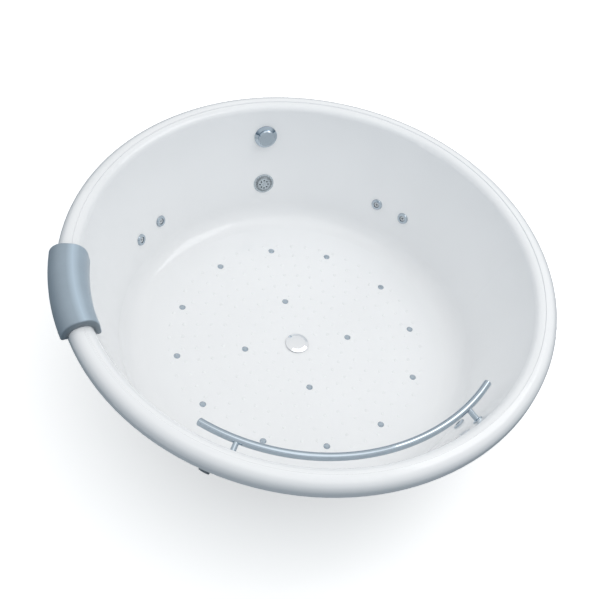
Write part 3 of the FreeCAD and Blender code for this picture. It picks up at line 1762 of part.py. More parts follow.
def support_frame():
    """The welded frame: two long tubes, two cross tubes that reach out to the trays, and a bar."""
    side = S.tube_side
    level = BOARD_BOTTOM - side
    spacing = FRAME_SPACING
    reach = spacing + S.frame_overhang
    arm_end = FRAME_ARM_END + side / 2
    skins, cores = [], []
    for index, sign in enumerate((-1, 1)):
        place = spacing * sign
        for tube in (
            square_tube("frame_long_%d" % index, (-reach, place, level), reach * 2, "X"),
            square_tube("frame_arm_%d" % index, (place, -reach, level), reach + arm_end, "Y"),
            square_tube(
                "frame_post_%d" % index,
                (place, FRAME_ARM_END, S.tray_height + S.tray_sheet),
                level - S.tray_height - S.tray_sheet + S.tube_wall,
                "Z",
            ),
        ):
            skins.append(tube[0])
            cores.append(tube[1])
    bar = square_tube(
        "frame_bar", (-spacing, FRAME_ARM_END, CROSS_BAR_HEIGHT), spacing * 2, "X"
    )
    skins.append(bar[0])
    cores.append(bar[1])
    for index, (x, y) in enumerate(foot_places()):
        frame = Placement(Vector(x, y, level.value - 1), Rotation())
        cores.append(
            cylinder("frame_stud_hole_%d" % index, S.stud_radius + S.fit_gap, S.tube_wall + 2, frame)
        )
    return cut("support_frame", fused("frame_blank", skins), cores)


def foot_places():
    along = (FRAME_SPACING + S.foot_overhang).value
    across = FRAME_SPACING.value
    return [(x, y) for x in (-along, along) for y in (-across, across)]


def leg_studs():
    low = S.foot_height / 2
    pattern = cylinder("leg_stud_pattern", S.stud_radius, BOARD_BOTTOM - S.stud_drop - low)
    frames = [Placement(Vector(x, y, low.value), Rotation()) for x, y in foot_places()]
    return repeated("leg_studs", pattern, frames)


def leg_nuts():
    """The lock nuts against the frame's underside."""
    level = (BOARD_BOTTOM - S.tube_side - S.stud_nut_thickness).value
    nut = hex_nut("leg_nut", S.stud_nut_flats, S.stud_radius + S.fit_gap / 5, S.stud_nut_thickness)
    frames = [Placement(Vector(x, y, level), Rotation()) for x, y in foot_places()]
    return repeated("leg_nuts", nut, frames)


def foot_pads():
    """The swivel feet, each with a socket for its stud."""
    socket = S.stud_radius + S.fit_gap / 5
    outline = [
        (size(0), size(0)),
        (S.foot_radius, size(0)),
        (S.foot_radius, S.foot_height / 2),
        (socket + 5, S.foot_height),
        (socket, S.foot_height),
        (socket, S.foot_height / 2),
        (size(0), S.foot_height / 2),
    ]
    frames = [Placement(Vector(x, y, 0), Rotation()) for x, y in foot_places()]
    return repeated("foot_pads", turned("foot_pad_pattern", outline), frames)


def tray_blocks(name, frame, start, end, inner, outer):
    """A folded sheet tray: its plate and its four upturned edges."""
    sheet_thickness = S.tray_sheet
    length = end - start
    width = inner + outer
    blocks = []
    for part, corner, extent in (
        ("plate", (start, -inner, 0), (length, width, sheet_thickness)),
        ("inner", (start, -inner, 0), (length, sheet_thickness, S.tray_edge)),
        ("outer", (start, outer - sheet_thickness, 0), (length, sheet_thickness, S.tray_edge)),
        ("near", (start, -inner, 0), (sheet_thickness, width, S.tray_edge)),
        ("far", (end - sheet_thickness, -inner, 0), (sheet_thickness, width, S.tray_edge)),
    ):
        block = doc.addObject("Part::Box", "%s_%s" % (name, part))
        for prop, side in zip(("Length", "Width", "Height"), extent):
            bind(block, prop, side)
        block.Placement = shifted(frame, corner[0], corner[1], S.tray_height)
        blocks.append(block)
    return fused(name, blocks)


def equipment_trays():
    """The trays under the pump and the blower."""
    pump = tray_blocks(
        "pump_tray",
        pump_frame(),
        S.pump_tray_start,
        S.pump_tray_end,
        S.pump_tray_inner,
        S.pump_tray_outer,
    )
    blower = tray_blocks(
        "blower_tray",
        blower_tray_frame(),
        -S.blower_tray_start,
        S.blower_tray_end,
        S.blower_tray_outer,
        S.blower_tray_inner,
    )
    return grouped("equipment_trays", [pump, blower])


def tray_feet():
    """Rubber feet under the trays' corners."""
    pattern = cylinder("tray_foot_pattern", S.tray_foot_radius, S.tray_height)
    inset = S.tray_foot_inset.value
    frames = []
    for frame, start, end, inner, outer in (
        (pump_frame(), S.pump_tray_start, S.pump_tray_end, S.pump_tray_inner, S.pump_tray_outer),
        (
            blower_tray_frame(),
            -S.blower_tray_start,
            S.blower_tray_end,
            S.blower_tray_outer,
            S.blower_tray_inner,
        ),
    ):
        for x in (start.value + inset, end.value - inset):
            for y in (-inner.value + inset, outer.value - inset):
                frames.append(shifted(frame, x, y, 0))
    return repeated("tray_feet", pattern, frames)


# ---------------------------------------------------------------- control box


def control_box():
    """The sealed box with the switching gear, on the frame's bar."""
    back = FRAME_ARM_END - S.tube_side / 2
    corner = (S.box_start, back - S.box_depth, BOX_BOTTOM)
    block = box("control_box_block", corner, (S.box_length, S.box_depth, S.box_height))
    block.recompute()
    upright = [
        (index, S.box_depth.value * 0.12, S.box_depth.value * 0.12)
        for index, edge in enumerate(block.Shape.Edges, start=1)
        if abs(edge.tangentAt(edge.FirstParameter).z) > 0.9
        and edge.Vertexes[0].Point.y < back.value - 1
    ]
    rounded = doc.addObject("Part::Fillet", "control_box")
    rounded.Base = block
    rounded.Edges = upright
    return rounded


def cable_gland():
    """The mains inlet under the box."""
    outline = ring_outline(S.gland_bore, S.gland_radius, size(0), S.gland_length)
    gland = turned("cable_gland", outline)
    across = (S.box_start + S.box_length / 2).value
    place = Vector(across, box_middle(), (BOX_BOTTOM - S.gland_length).value)
    gland.Placement = Placement(place, Rotation())
    return gland


def release_cable():
    """The cable from the overflow knob's spindle to the waste's stem."""
    azimuth = S.cable_azimuth.value
    end = S.shell_wall + S.fit_gap + S.overflow_body_length
    spot = S.overflow_spindle_radius + S.overflow_neck_wall + S.cable_radius * 2
    start = on_frame(OVERFLOW_FRAME, -spot, -spot, -end)
    back = OVERFLOW_FRAME.Rotation.multVec(Vector(0, 0, -1))
    waste = (S.waste_neck_radius + S.waste_body_wall + S.cable_radius).value
    level = OVERFLOW_PIPE_HEIGHT.value + S.cable_radius.value
    route = [
        start,
        start + back * 18,
        polar(OVERFLOW_PIPE_LOW_RADIUS.value + 70, azimuth, RIM_HEIGHT.value - 370),
        polar(OVERFLOW_PIPE_LOW_RADIUS.value - 80, azimuth, level),
        polar(waste, S.cable_end_azimuth.value, level),
    ]
    return shape_node("release_cable", rod_along(route, S.cable_radius.value, 14))


def box_middle():
    """The depth at which the leads and the gland meet the control box."""
    return (FRAME_ARM_END - S.tube_side / 2 - S.box_depth / 2).value


def internal_leads():
    """From the control box to the pump's wiring box and to the blower."""
    radius = S.lead_radius.value
    along = S.pump_wet_end + S.pump_box_start + S.pump_box_length * 0.8
    height = BOX_TOP - S.lead_inset
    side = -S.pump_box_width / 2
    start = Vector((S.box_start + S.box_length).value, box_middle(), height.value)
    end = pump_point(along, side, height)
    run = (end.y - start.y) / math.cos(math.radians(S.pump_turn.value))
    corner = pump_point(along, side - run, height)
    pump_lead = rod_along([start, corner, end], radius, radius * 4)
    centre = blower_frame().Base
    level = BOX_BOTTOM.value + S.box_height.value / 4
    offset = S.blower_radius.value / 4
    across = centre.x + offset
    edge = centre.y - math.sqrt((S.blower_radius + S.fit_gap * 4).value ** 2 - offset ** 2)
    start = Vector(S.box_start.value, box_middle(), level)
    corner = Vector(across, box_middle(), level)
    blower_lead = rod_along([start, corner, Vector(across, edge, level)], radius, 8)
    return shape_node("internal_leads", Part.makeCompound([pump_lead, blower_lead]))


# ---------------------------------------------------------------- the whole bath

NODES = [
    tub_shell(),
    jet_bezels(),
    *jet_nozzles(),
    jet_bodies(),
    water_ring(),
    air_jet_caps(),
    air_manifold(),
    air_loop_pipe(),
    waste_flange(),
    waste_cover(),
    waste_body(),
    waste_trap(),
    overflow_rosette(),
    overflow_knob(),
    overflow_body(),
    overflow_pipe(),
    release_cable(),
    suction_cover(),
    suction_body(),
    suction_pipe(),
    pump_wet_end(),
    pump_motor(),
    pump_rotor(),
    pump_fan_cover(),
    pump_foot(),
    pump_terminal_box(),
    pressure_pipe(),
    union_nuts(),
    blower_base(),
    blower_housing(),
    blower_fan(),
    rubber_mounts(),
    grab_rail(),
    rail_posts(),
    rail_rosettes(),
    rail_nuts(),
    headrest_pad(),
    headrest_suckers(),
    base_board(),
    support_frame(),
    leg_studs(),
    leg_nuts(),
    foot_pads(),
    equipment_trays(),
    tray_feet(),
    control_box(),
    cable_gland(),
    internal_leads(),
]
doc.recompute()

faults = [item.Label for item in doc.Objects if {"Invalid", "Error"} & set(item.State)]
for node in NODES:
    if node.Shape.isNull() or not node.Shape.isValid() or not node.Shape.Solids:
        faults.append(node.Label)
if faults:
    raise RuntimeError("unsound: " + ", ".join(faults))

os.makedirs("parts", exist_ok=True)
for node in NODES:
    node.Shape.exportStep("parts/%s.step" % node.Label)
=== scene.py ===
import json
import math

import bmesh
import bpy
from mathutils import Matrix, Vector


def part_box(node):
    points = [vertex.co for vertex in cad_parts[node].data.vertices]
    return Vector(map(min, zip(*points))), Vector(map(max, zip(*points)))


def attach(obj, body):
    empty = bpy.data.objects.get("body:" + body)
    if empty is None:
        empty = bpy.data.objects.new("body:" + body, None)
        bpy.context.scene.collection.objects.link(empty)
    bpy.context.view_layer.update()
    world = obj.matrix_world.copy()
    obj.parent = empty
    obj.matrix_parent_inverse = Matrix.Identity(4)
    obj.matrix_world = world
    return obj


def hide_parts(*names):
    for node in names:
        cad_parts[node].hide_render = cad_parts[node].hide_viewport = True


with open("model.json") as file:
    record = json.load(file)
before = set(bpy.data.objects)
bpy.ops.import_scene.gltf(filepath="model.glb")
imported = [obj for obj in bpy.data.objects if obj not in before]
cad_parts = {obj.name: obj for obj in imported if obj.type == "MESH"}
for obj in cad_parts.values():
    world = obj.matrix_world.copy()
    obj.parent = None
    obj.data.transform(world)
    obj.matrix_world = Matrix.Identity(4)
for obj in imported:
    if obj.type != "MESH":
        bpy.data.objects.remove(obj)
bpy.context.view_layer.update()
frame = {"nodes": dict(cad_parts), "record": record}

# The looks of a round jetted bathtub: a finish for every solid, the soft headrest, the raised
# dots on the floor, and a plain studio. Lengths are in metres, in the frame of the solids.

MM = 0.001

# ---------------------------------------------------------------- sizes shared with the solids

RIM_RADIUS = 800 * MM
RIM_HEIGHT = 630 * MM
SHOULDER_RADIUS = 34 * MM
INNER_EDGE_RADIUS = 30 * MM

# The inner wall and the floor are each given by one point and by their slope.
WALL_LEAN = math.radians(18.26)
WALL_GAUGE_RADIUS = 636 * MM
WALL_GAUGE_DEPTH = 296 * MM
FLOOR_DEPTH = 437 * MM
FLOOR_GAUGE_RADIUS = 422 * MM
FLOOR_FALL = math.radians(1.4)


def wall_radius(depth):
    """The inner wall's radius at a depth below the rim's crown."""
    return WALL_GAUGE_RADIUS + (WALL_GAUGE_DEPTH - depth) * math.tan(WALL_LEAN)


def floor_height(radius):
    """The height of the floor, which falls towards the waste."""
    rise = (radius - FLOOR_GAUGE_RADIUS) * math.tan(FLOOR_FALL)
    return RIM_HEIGHT - FLOOR_DEPTH + rise


def polar(radius, azimuth, height):
    """A point by its distance from the bath's axis, its azimuth in degrees and its height."""
    turn = math.radians(azimuth)
    return Vector((radius * math.cos(turn), radius * math.sin(turn), height))


# ---------------------------------------------------------------- node graphs

# The colour sockets of a Mix node, by number, because their names repeat.
MIX_FIRST = 6
MIX_SECOND = 7
MIX_RESULT = 2


class Finish:
    """A material, with short calls that add nodes to its graph."""

    def __init__(self, name, colour, roughness, metallic=0.0):
        self.material = bpy.data.materials.new(name)
        self.material.use_nodes = True
        self.tree = self.material.node_tree
        self.shader = self.tree.nodes["Principled BSDF"]
        self.colour = colour
        self.set("Base Color", (*colour, 1))
        self.set("Roughness", roughness)
        self.set("Metallic", metallic)
        self.place = self.add("ShaderNodeTexCoord").outputs["Object"]

    def set(self, socket, value):
        self.shader.inputs[socket].default_value = value

    def add(self, kind, inputs=None, **settings):
        """A node with its settings, and its inputs by name or number, each a value or a socket."""
        node = self.tree.nodes.new(kind)
        for name, value in settings.items():
            setattr(node, name, value)
        for name, value in (inputs or {}).items():
            if isinstance(value, bpy.types.NodeSocket):
                self.tree.links.new(value, node.inputs[name])
            else:
                node.inputs[name].default_value = value
        return node

    def stretched(self, scale):
        """The place on the object, drawn out or squeezed along each axis."""
        inputs = {"Vector": self.place, "Scale": scale}
        return self.add("ShaderNodeMapping", inputs).outputs["Vector"]

    def noise(self, scale, detail=3.0, place=None, distortion=0.0):
        inputs = {
            "Vector": place or self.place,
            "Scale": scale,
            "Detail": detail,
            "Distortion": distortion,
        }
        return self.add("ShaderNodeTexNoise", inputs).outputs["Fac"]

    def cells(self, scale, feature="F1", output="Distance", place=None):
        inputs = {"Vector": place or self.place, "Scale": scale}
        return self.add("ShaderNodeTexVoronoi", inputs, feature=feature).outputs[output]

    def spread(self, value, start, end, low=0.0, high=1.0):
        """Turns start..end of a value into low..high, and holds it there outside."""
        inputs = {
            "Value": value,
            "From Min": start,
            "From Max": end,
            "To Min": low,
            "To Max": high,
        }
        return self.add("ShaderNodeMapRange", inputs).outputs["Result"]

    def maths(self, operation, first, second=0.0):
        return self.add("ShaderNodeMath", {0: first, 1: second}, operation=operation).outputs[0]

    def vector(self, operation, first, second=None):
        inputs = {0: first} if second is None else {0: first, 1: second}
        node = self.add("ShaderNodeVectorMath", inputs, operation=operation)
        return node.outputs["Value"] if operation in ("DOT_PRODUCT", "LENGTH") else node.outputs[0]

    def level_place(self):
        """The shaded point's place seen from above, as a level vector from the bath's axis."""
        position = self.add("ShaderNodeNewGeometry").outputs["Position"]
        return self.vector("MULTIPLY", position, (1, 1, 0))

    def mixed(self, share, first, second):
        """One colour going over into another."""
        node = self.add("ShaderNodeMix", {"Factor": share}, data_type="RGBA")
        for number, value in ((MIX_FIRST, first), (MIX_SECOND, second)):
            if isinstance(value, bpy.types.NodeSocket):
                self.tree.links.new(value, node.inputs[number])
            else:
                node.inputs[number].default_value = (*value, 1)
        return node.outputs[MIX_RESULT]

    def shade(self, factor):
        """The finish's own colour, made lighter or darker."""
        return tuple(min(channel * factor, 1.0) for channel in self.colour)

    def colour_from(self, source):
        self.tree.links.new(source, self.shader.inputs["Base Color"])

    def mottled(self, scale, dark, light, detail=4.0):
        """The colour wanders between two shades of itself."""
        share = self.spread(self.noise(scale, detail), 0.3, 0.7)
        self.colour_from(self.mixed(share, self.shade(dark), self.shade(light)))

    def roughness_from(self, source, low, high):
        self.tree.links.new(self.spread(source, 0.3, 0.7, low, high), self.shader.inputs["Roughness"])

    def bumped(self, height, strength, depth):
        """Relief that the light shows: its share, and its depth in metres."""
        inputs = {"Height": height, "Strength": strength, "Distance": depth}
        before = self.shader.inputs["Normal"].links
        if before:
            inputs["Normal"] = before[0].from_socket
        node = self.add("ShaderNodeBump", inputs)
        self.tree.links.new(node.outputs["Normal"], self.shader.inputs["Normal"])


# ---------------------------------------------------------------- finishes

ACRYLIC_WHITE = (0.87, 0.88, 0.887)

# The waste plug in the floor's middle is painted paler out to this radius, a painted reflection.
PLUG_RADIUS = 45 * MM
PLUG_PAINTED_SHINE = (0.88, 0.90, 0.92)

# A ring of painted shade on the suction cover, at the edge of its guard: its radius and half its
# width.
GUARD_SHADE_RADIUS = 29 * MM
GUARD_SHADE_SPREAD = 5 * MM

# From this radius outward, a face that looks towards the axis is the inside of the rim's lip.
LIP_START_RADIUS = 768 * MM

# Painted light and shade on the headrest: its inner side is painted paler out to the lit radius,
# and its outer side darker from the shaded radius on. A painted highlight, a still paler band,
# lies along its crest, and fades out on both sides.
FOAM_LIT_RADIUS = 735 * MM
FOAM_SHADED_RADIUS = 800 * MM
FOAM_HIGHLIGHT_RADIUS = 748 * MM
FOAM_HIGHLIGHT_SPREAD = 20 * MM


def shell_back(finish):
    """1 on the shell's hidden side and inside the rim's lip, 0 on its polished side."""
    facing = finish.add("ShaderNodeNewGeometry").outputs["True Normal"]
    level = finish.level_place()
    from_axis = finish.vector("LENGTH", level)
    outward = finish.vector("DOT_PRODUCT", facing, finish.vector("NORMALIZE", level))
    upward = finish.vector("DOT_PRODUCT", facing, (0, 0, 1))
    looks_down = finish.maths("LESS_THAN", upward, -0.02)
    looks_in = finish.maths("LESS_THAN", outward, -0.2)
    in_the_lip = finish.maths("GREATER_THAN", from_axis, LIP_START_RADIUS)
    return finish.maths("MAXIMUM", looks_down, finish.maths("MULTIPLY", looks_in, in_the_lip))


def white_acrylic():
    """Cast acrylic, polished on the bath's side and backed with sprayed glass fibre."""
    finish = Finish("white_acrylic", ACRYLIC_WHITE, 0.1)
    finish.set("IOR", 1.49)
    finish.set("Coat Weight", 0.2)
    finish.set("Coat Roughness", 0.04)
    back = shell_back(finish)
    cloud = finish.spread(finish.noise(2.5, 2.0), 0.3, 0.7)
    polished = finish.mixed(cloud, finish.shade(0.985), finish.shade(1.015))
    strands = finish.noise(90, 4.0, finish.stretched((1, 0.25, 1)), 1.6)
    resin = finish.noise(14, 5.0)
    fibre = finish.mixed(finish.spread(strands, 0.35, 0.65), (0.50, 0.52, 0.44), (0.72, 0.73, 0.66))
    fibre = finish.mixed(finish.spread(resin, 0.45, 0.75), fibre, (0.62, 0.60, 0.48))
    finish.colour_from(finish.mixed(back, polished, fibre))
    haze = finish.spread(finish.noise(30, 3.0), 0.3, 0.7, 0.07, 0.13)
    roughness = finish.spread(back, 0.0, 1.0, 0.0, 0.5)
    finish.tree.links.new(finish.maths("ADD", haze, roughness), finish.shader.inputs["Roughness"])
    orange_peel = finish.noise(220, 2.0)
    finish.bumped(orange_peel, 0.02, 0.4 * MM)
    finish.bumped(finish.maths("MULTIPLY", strands, back), 0.6, 0.8 * MM)
    return finish


def dot_acrylic():
    """The same acrylic on the raised dots, its tone and gloss wandering a little."""
    finish = Finish("dot_acrylic", ACRYLIC_WHITE, 0.12)
    finish.set("IOR", 1.49)
    finish.set("Coat Weight", 0.35)
    finish.mottled(60, 0.96, 1.02)
    finish.roughness_from(finish.noise(400, 2.0), 0.08, 0.2)
    return finish


def chrome_trim():
    """Chrome with faint wiping marks and dried water spots, and a painted reflection that makes the
    plug paler.
    """
    finish = Finish("chrome_trim", (0.46, 0.53, 0.59), 0.06, 1.0)
    from_axis = finish.vector("LENGTH", finish.level_place())
    on_plug = finish.maths("LESS_THAN", from_axis, PLUG_RADIUS)
    wiping = finish.noise(260, 3.0, finish.stretched((1, 1, 0.15)))
    spots = finish.spread(finish.cells(300), 0.12, 0.2, 0.62, 0.4)
    plated = finish.mixed(finish.noise(40), finish.shade(0.96), finish.shade(1.02))
    # The plug's paler colour is a painted reflection.
    finish.colour_from(finish.mixed(on_plug, plated, PLUG_PAINTED_SHINE))
    finish.roughness_from(finish.maths("MULTIPLY", spots, wiping), 0.03, 0.16)
    finish.bumped(wiping, 0.01, 0.1 * MM)
    return finish


def moulded(name, colour, roughness, grain=1400, relief=0.12):
    """Moulded plastic: fine spark grain, slight sheen patches and a little mottling."""
    finish = Finish(name, colour, roughness)
    finish.mottled(35, 0.94, 1.05)
    finish.roughness_from(finish.noise(90, 3.0), roughness - 0.06, roughness + 0.08)
    finish.bumped(finish.noise(grain, 2.0), relief, 0.1 * MM)
    return finish


def jet_plastic():
    return moulded("jet_plastic", (0.62, 0.66, 0.69), 0.24, 900, 0.05)


def grey_trim():
    """Satin silver-grey plastic, brushed round by wiping, with a ring of painted shade on the suction
    cover.
    """
    finish = Finish("grey_trim", (0.50, 0.56, 0.60), 0.28, 0.55)
    position = finish.add("ShaderNodeNewGeometry").outputs["Position"]
    low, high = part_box("suction_cover")
    from_middle = finish.vector("LENGTH", finish.vector("SUBTRACT", position, (low + high) / 2))
    from_shade_ring = finish.maths("ABSOLUTE", finish.maths("SUBTRACT", from_middle, GUARD_SHADE_RADIUS))
    clear_of_painted_shade = finish.spread(from_shade_ring, 0.0, GUARD_SHADE_SPREAD)
    wiped = finish.spread(finish.noise(50, 4.0), 0.3, 0.7)
    plain = finish.mixed(wiped, finish.shade(0.92), finish.shade(1.08))
    # A ring of painted shade where the suction cover's guard meets its disc.
    finish.colour_from(finish.mixed(clear_of_painted_shade, finish.shade(0.4), plain))
    finish.roughness_from(finish.noise(300, 3.0), 0.2, 0.36)
    finish.bumped(finish.noise(1200, 2.0), 0.06, 0.1 * MM)
    return finish


def soft_foam():
    """Self-skinned foam: a fine leather grain, painted light on its inner side, painted shade on its
    outer side and ends, and a painted highlight along its crest.
    """
    finish = Finish("soft_foam", (0.31, 0.38, 0.44), 0.42)
    facing = finish.add("ShaderNodeNewGeometry").outputs["True Normal"]
    level = finish.level_place()
    from_axis = finish.vector("LENGTH", level)
    outward = finish.spread(from_axis, FOAM_LIT_RADIUS, FOAM_SHADED_RADIUS)
    along = finish.vector("CROSS_PRODUCT", finish.vector("NORMALIZE", level), (0, 0, 1))
    facing_along = finish.vector("DOT_PRODUCT", facing, along)
    painted_end_shade = finish.spread(finish.maths("ABSOLUTE", facing_along), 0.6, 0.95)
    from_crest = finish.maths("ABSOLUTE", finish.maths("SUBTRACT", from_axis, FOAM_HIGHLIGHT_RADIUS))
    painted_highlight = finish.spread(from_crest, 0.0, FOAM_HIGHLIGHT_SPREAD, 1.0, 0.0)
    cloud = finish.spread(finish.noise(9, 3.0), 0.3, 0.7)
    # Painted light makes the inner side paler, and painted shade makes the outer side darker.
    painted_lit_side = finish.mixed(cloud, finish.shade(1.08), finish.shade(1.2))
    painted_shaded_side = finish.mixed(cloud, finish.shade(0.84), finish.shade(0.92))
    skin = finish.mixed(outward, painted_lit_side, painted_shaded_side)
    # A painted highlight along the crest.
    skin = finish.mixed(painted_highlight, skin, finish.shade(1.5))
    # Painted shade on the ends, the faces that look along the rim.
    finish.colour_from(finish.mixed(painted_end_shade, skin, finish.shade(0.62)))
    finish.set("Sheen Weight", 0.15)
    finish.set("Sheen Roughness", 0.4)
    grain = finish.cells(700, "DISTANCE_TO_EDGE")
    finish.roughness_from(finish.noise(120, 3.0), 0.36, 0.5)
    finish.bumped(finish.spread(grain, 0.0, 0.12), 0.12, 0.15 * MM)
    finish.bumped(finish.noise(2600, 2.0), 0.06, 0.08 * MM)
    return finish


def clear_rubber():
    finish = moulded("clear_rubber", (0.62, 0.66, 0.68), 0.3, 1100, 0.05)
    finish.set("Transmission Weight", 0.35)
    finish.set("IOR", 1.42)
    return finish


def white_pvc():
    """Rigid white pipe: extrusion lines and a thin film of solvent marks."""
    finish = Finish("white_pvc", (0.76, 0.77, 0.75), 0.3)
    finish.mottled(12, 0.93, 1.04)
    lines = finish.noise(500, 2.0, finish.stretched((0.08, 1, 1)))
    finish.roughness_from(finish.noise(45, 3.0), 0.24, 0.4)
    finish.bumped(lines, 0.05, 0.1 * MM)
    return finish


def grey_pvc():
    return moulded("grey_pvc", (0.30, 0.32, 0.34), 0.42, 1100)


def black_plastic():
    return moulded("black_plastic", (0.028, 0.029, 0.032), 0.44, 1300, 0.2)


def light_plastic():
    return moulded("light_plastic", (0.58, 0.59, 0.57), 0.46, 1300, 0.2)


def black_rubber():
    """Matte rubber with a dusty bloom."""
    finish = Finish("black_rubber", (0.022, 0.022, 0.022), 0.75)
    bloom = finish.spread(finish.noise(55, 6.0), 0.45, 0.8)
    finish.colour_from(finish.mixed(bloom, finish.colour, (0.075, 0.073, 0.07)))
    finish.roughness_from(finish.noise(200, 3.0), 0.66, 0.85)
    finish.bumped(finish.noise(1600, 3.0), 0.25, 0.12 * MM)
    return finish


def cast_aluminium():
    """Pressure-cast aluminium: a sandy skin with darker pockets."""
    finish = Finish("cast_aluminium", (0.52, 0.53, 0.54), 0.48, 0.9)
    finish.mottled(70, 0.8, 1.1)
    finish.roughness_from(finish.noise(260, 4.0), 0.38, 0.6)
    finish.bumped(finish.noise(1500, 4.0), 0.35, 0.15 * MM)
    return finish


def plated_steel(name, colour, roughness):
    """Zinc plating with a faint yellow and blue passivation and drawing lines."""
    finish = Finish(name, colour, roughness, 1.0)
    wander = finish.spread(finish.noise(30, 3.0), 0.35, 0.65)
    finish.colour_from(finish.mixed(wander, (0.60, 0.58, 0.50), (0.52, 0.56, 0.60)))
    lines = finish.noise(600, 2.0, finish.stretched((1, 1, 0.1)))
    finish.roughness_from(lines, roughness - 0.08, roughness + 0.1)
    finish.bumped(lines, 0.06, 0.08 * MM)
    return finish


def steel():
    return plated_steel("steel", (0.56, 0.57, 0.56), 0.3)


def zinc_steel():
    return plated_steel("zinc_steel", (0.55, 0.56, 0.55), 0.36)


def galvanised_steel():
    """Hot-dip galvanising: interlocking grey spangles and a few white bloom patches."""
    finish = Finish("galvanised_steel", (0.50, 0.52, 0.53), 0.4, 0.85)
    spangle = finish.cells(70, output="Color")
    tone = finish.vector("DOT_PRODUCT", spangle, (0.33, 0.33, 0.33))
    crystals = finish.mixed(tone, finish.shade(0.72), finish.shade(1.15))
    bloom = finish.spread(finish.noise(18, 5.0), 0.58, 0.75)
    finish.colour_from(finish.mixed(bloom, crystals, (0.66, 0.67, 0.66)))
    finish.roughness_from(tone, 0.3, 0.5)
    finish.bumped(finish.cells(70, "DISTANCE_TO_EDGE"), 0.08, 0.1 * MM)
    return finish


def board_wood():
    """Resin-sealed chipboard: pale flakes of several tones."""
    finish = Finish("board_wood", (0.50, 0.37, 0.23), 0.6)
    flakes = finish.cells(160, output="Color", place=finish.stretched((1, 0.45, 1)))
    tone = finish.vector("DOT_PRODUCT", flakes, (0.33, 0.33, 0.33))
    chips = finish.mixed(tone, finish.shade(0.65), finish.shade(1.35))
    resin = finish.spread(finish.noise(20, 4.0), 0.5, 0.8)
    finish.colour_from(finish.mixed(resin, chips, (0.55, 0.50, 0.38)))
    finish.roughness_from(finish.noise(60, 3.0), 0.45, 0.7)
    finish.bumped(tone, 0.3, 0.2 * MM)
    return finish


SLOT_FINISHES = [
    white_acrylic,
    chrome_trim,
    jet_plastic,
    grey_trim,
    soft_foam,
    clear_rubber,
    white_pvc,
    grey_pvc,
    black_plastic,
    light_plastic,
    black_rubber,
    cast_aluminium,
    steel,
    zinc_steel,
    galvanised_steel,
    board_wood,
]


def dress_solids():
    """Gives every solid the finish of its slot, and returns the material of each slot."""
    finishes = {make.__name__: make().material for make in SLOT_FINISHES}
    slot_of = {part["node"]: part["material_slot"] for part in frame["record"]["subparts"]}
    for name, solid in frame["nodes"].items():
        for slot in solid.material_slots:
            slot.material = finishes[slot_of[name]]
    return finishes


# ---------------------------------------------------------------- meshes


def mesh_piece(name, points, faces, material, smooth=True):
    """An object made from points and faces, all in one material."""
    mesh = bpy.data.meshes.new(name)
    mesh.from_pydata([tuple(point) for point in points], [], faces)
    mesh.polygons.foreach_set("use_smooth", [smooth] * len(mesh.polygons))
    mesh.materials.append(material)
    piece = bpy.data.objects.new(name, mesh)
    bpy.context.collection.objects.link(piece)
    return piece


# The raised dots stand in rings round the waste: each ring's radius as a share of the rim's,
# and its number of dots.
DOT_RINGS = [
    (0.555, 52),
    (0.4975, 48),
    (0.44, 44),
    (0.3825, 40),
    (0.325, 36),
    (0.2625, 32),
    (0.20, 24),
    (0.15, 16),
    (0.10, 8),
]
DOT_RADIUS = 6.5 * MM
DOT_HEIGHT = 1.0 * MM
DOT_SINK = 0.3 * MM
DOT_SIDES = 14

# Where a dot's rings of points stand and its top, as shares of the quarter turn up from its edge.
DOT_STEPS = (0.0, 0.35, 0.7, 1.0)


def floor_dots(material):
    """Low domes that stop a foot from slipping."""
    points, faces = [], []
    for share, count in DOT_RINGS:
        ring = share * RIM_RADIUS
        for index in range(count):
            middle = polar(ring, 360 * (index + 0.5) / count, floor_height(ring))
            add_dome(points, faces, middle)
    piece = mesh_piece("floor_dots", points, faces, material)
    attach(piece, "bath")


def add_dome(points, faces, middle):
    """A dome in rings from its edge up to its top."""
    first = len(points)
    for step in DOT_STEPS[:-1]:
        reach = DOT_RADIUS * math.cos(step * math.pi / 2)
        rise = (DOT_HEIGHT + DOT_SINK) * math.sin(step * math.pi / 2) - DOT_SINK
        for side in range(DOT_SIDES):
            points.append(middle + polar(reach, 360 * side / DOT_SIDES, rise))
    points.append(middle + Vector((0, 0, DOT_HEIGHT)))
    rings = len(DOT_STEPS) - 1
    for ring in range(rings - 1):
        for side in range(DOT_SIDES):
            near = first + ring * DOT_SIDES
            beside = (side + 1) % DOT_SIDES
            above = near + DOT_SIDES
            faces.append((near + side, near + beside, above + beside, above + side))
    last_ring = first + (rings - 1) * DOT_SIDES
    top = first + rings * DOT_SIDES
    for side in range(DOT_SIDES):
        faces.append((last_ring + side, last_ring + (side + 1) % DOT_SIDES, top))


# ---------------------------------------------------------------- headrest

# The cushion's middle and its half length, in degrees round the rim.
PAD_AZIMUTH = 180.7
PAD_HALF_ANGLE = 11.5

# Its section over the rim. Each side reaches down this far from the crown, and its tip is this
# thick.
PAD_THICKNESS = 25 * MM
PAD_GAP = 0.6 * MM
PAD_INNER_REACH = 60 * MM
PAD_INNER_TIP = 16 * MM
PAD_OUTER_REACH = 42 * MM
PAD_OUTER_TIP = 22 * MM
PAD_TIP_ROUND = 7.8 * MM
PAD_CROWN_RADIUS = 50 * MM
PAD_END_ROUND = 7 * MM

# The inner tip's underside falls by this share of the wall's lean. The top corner above it is set
# back from its front by this share of the tip's thickness.
PAD_INNER_TILT = 0.3
PAD_INNER_STEP = 0.8

# How fine the mesh is: along the middle, over each end, round each corner and on the long sides.
PAD_STATIONS = 34
PAD_END_STEPS = 6
PAD_ARC_STEPS = 8
PAD_FACE_LENGTH = 9 * MM

# The section's first corners are on the cushion's skin, and the others lie along the rim.
PAD_SKIN_CORNERS = 6


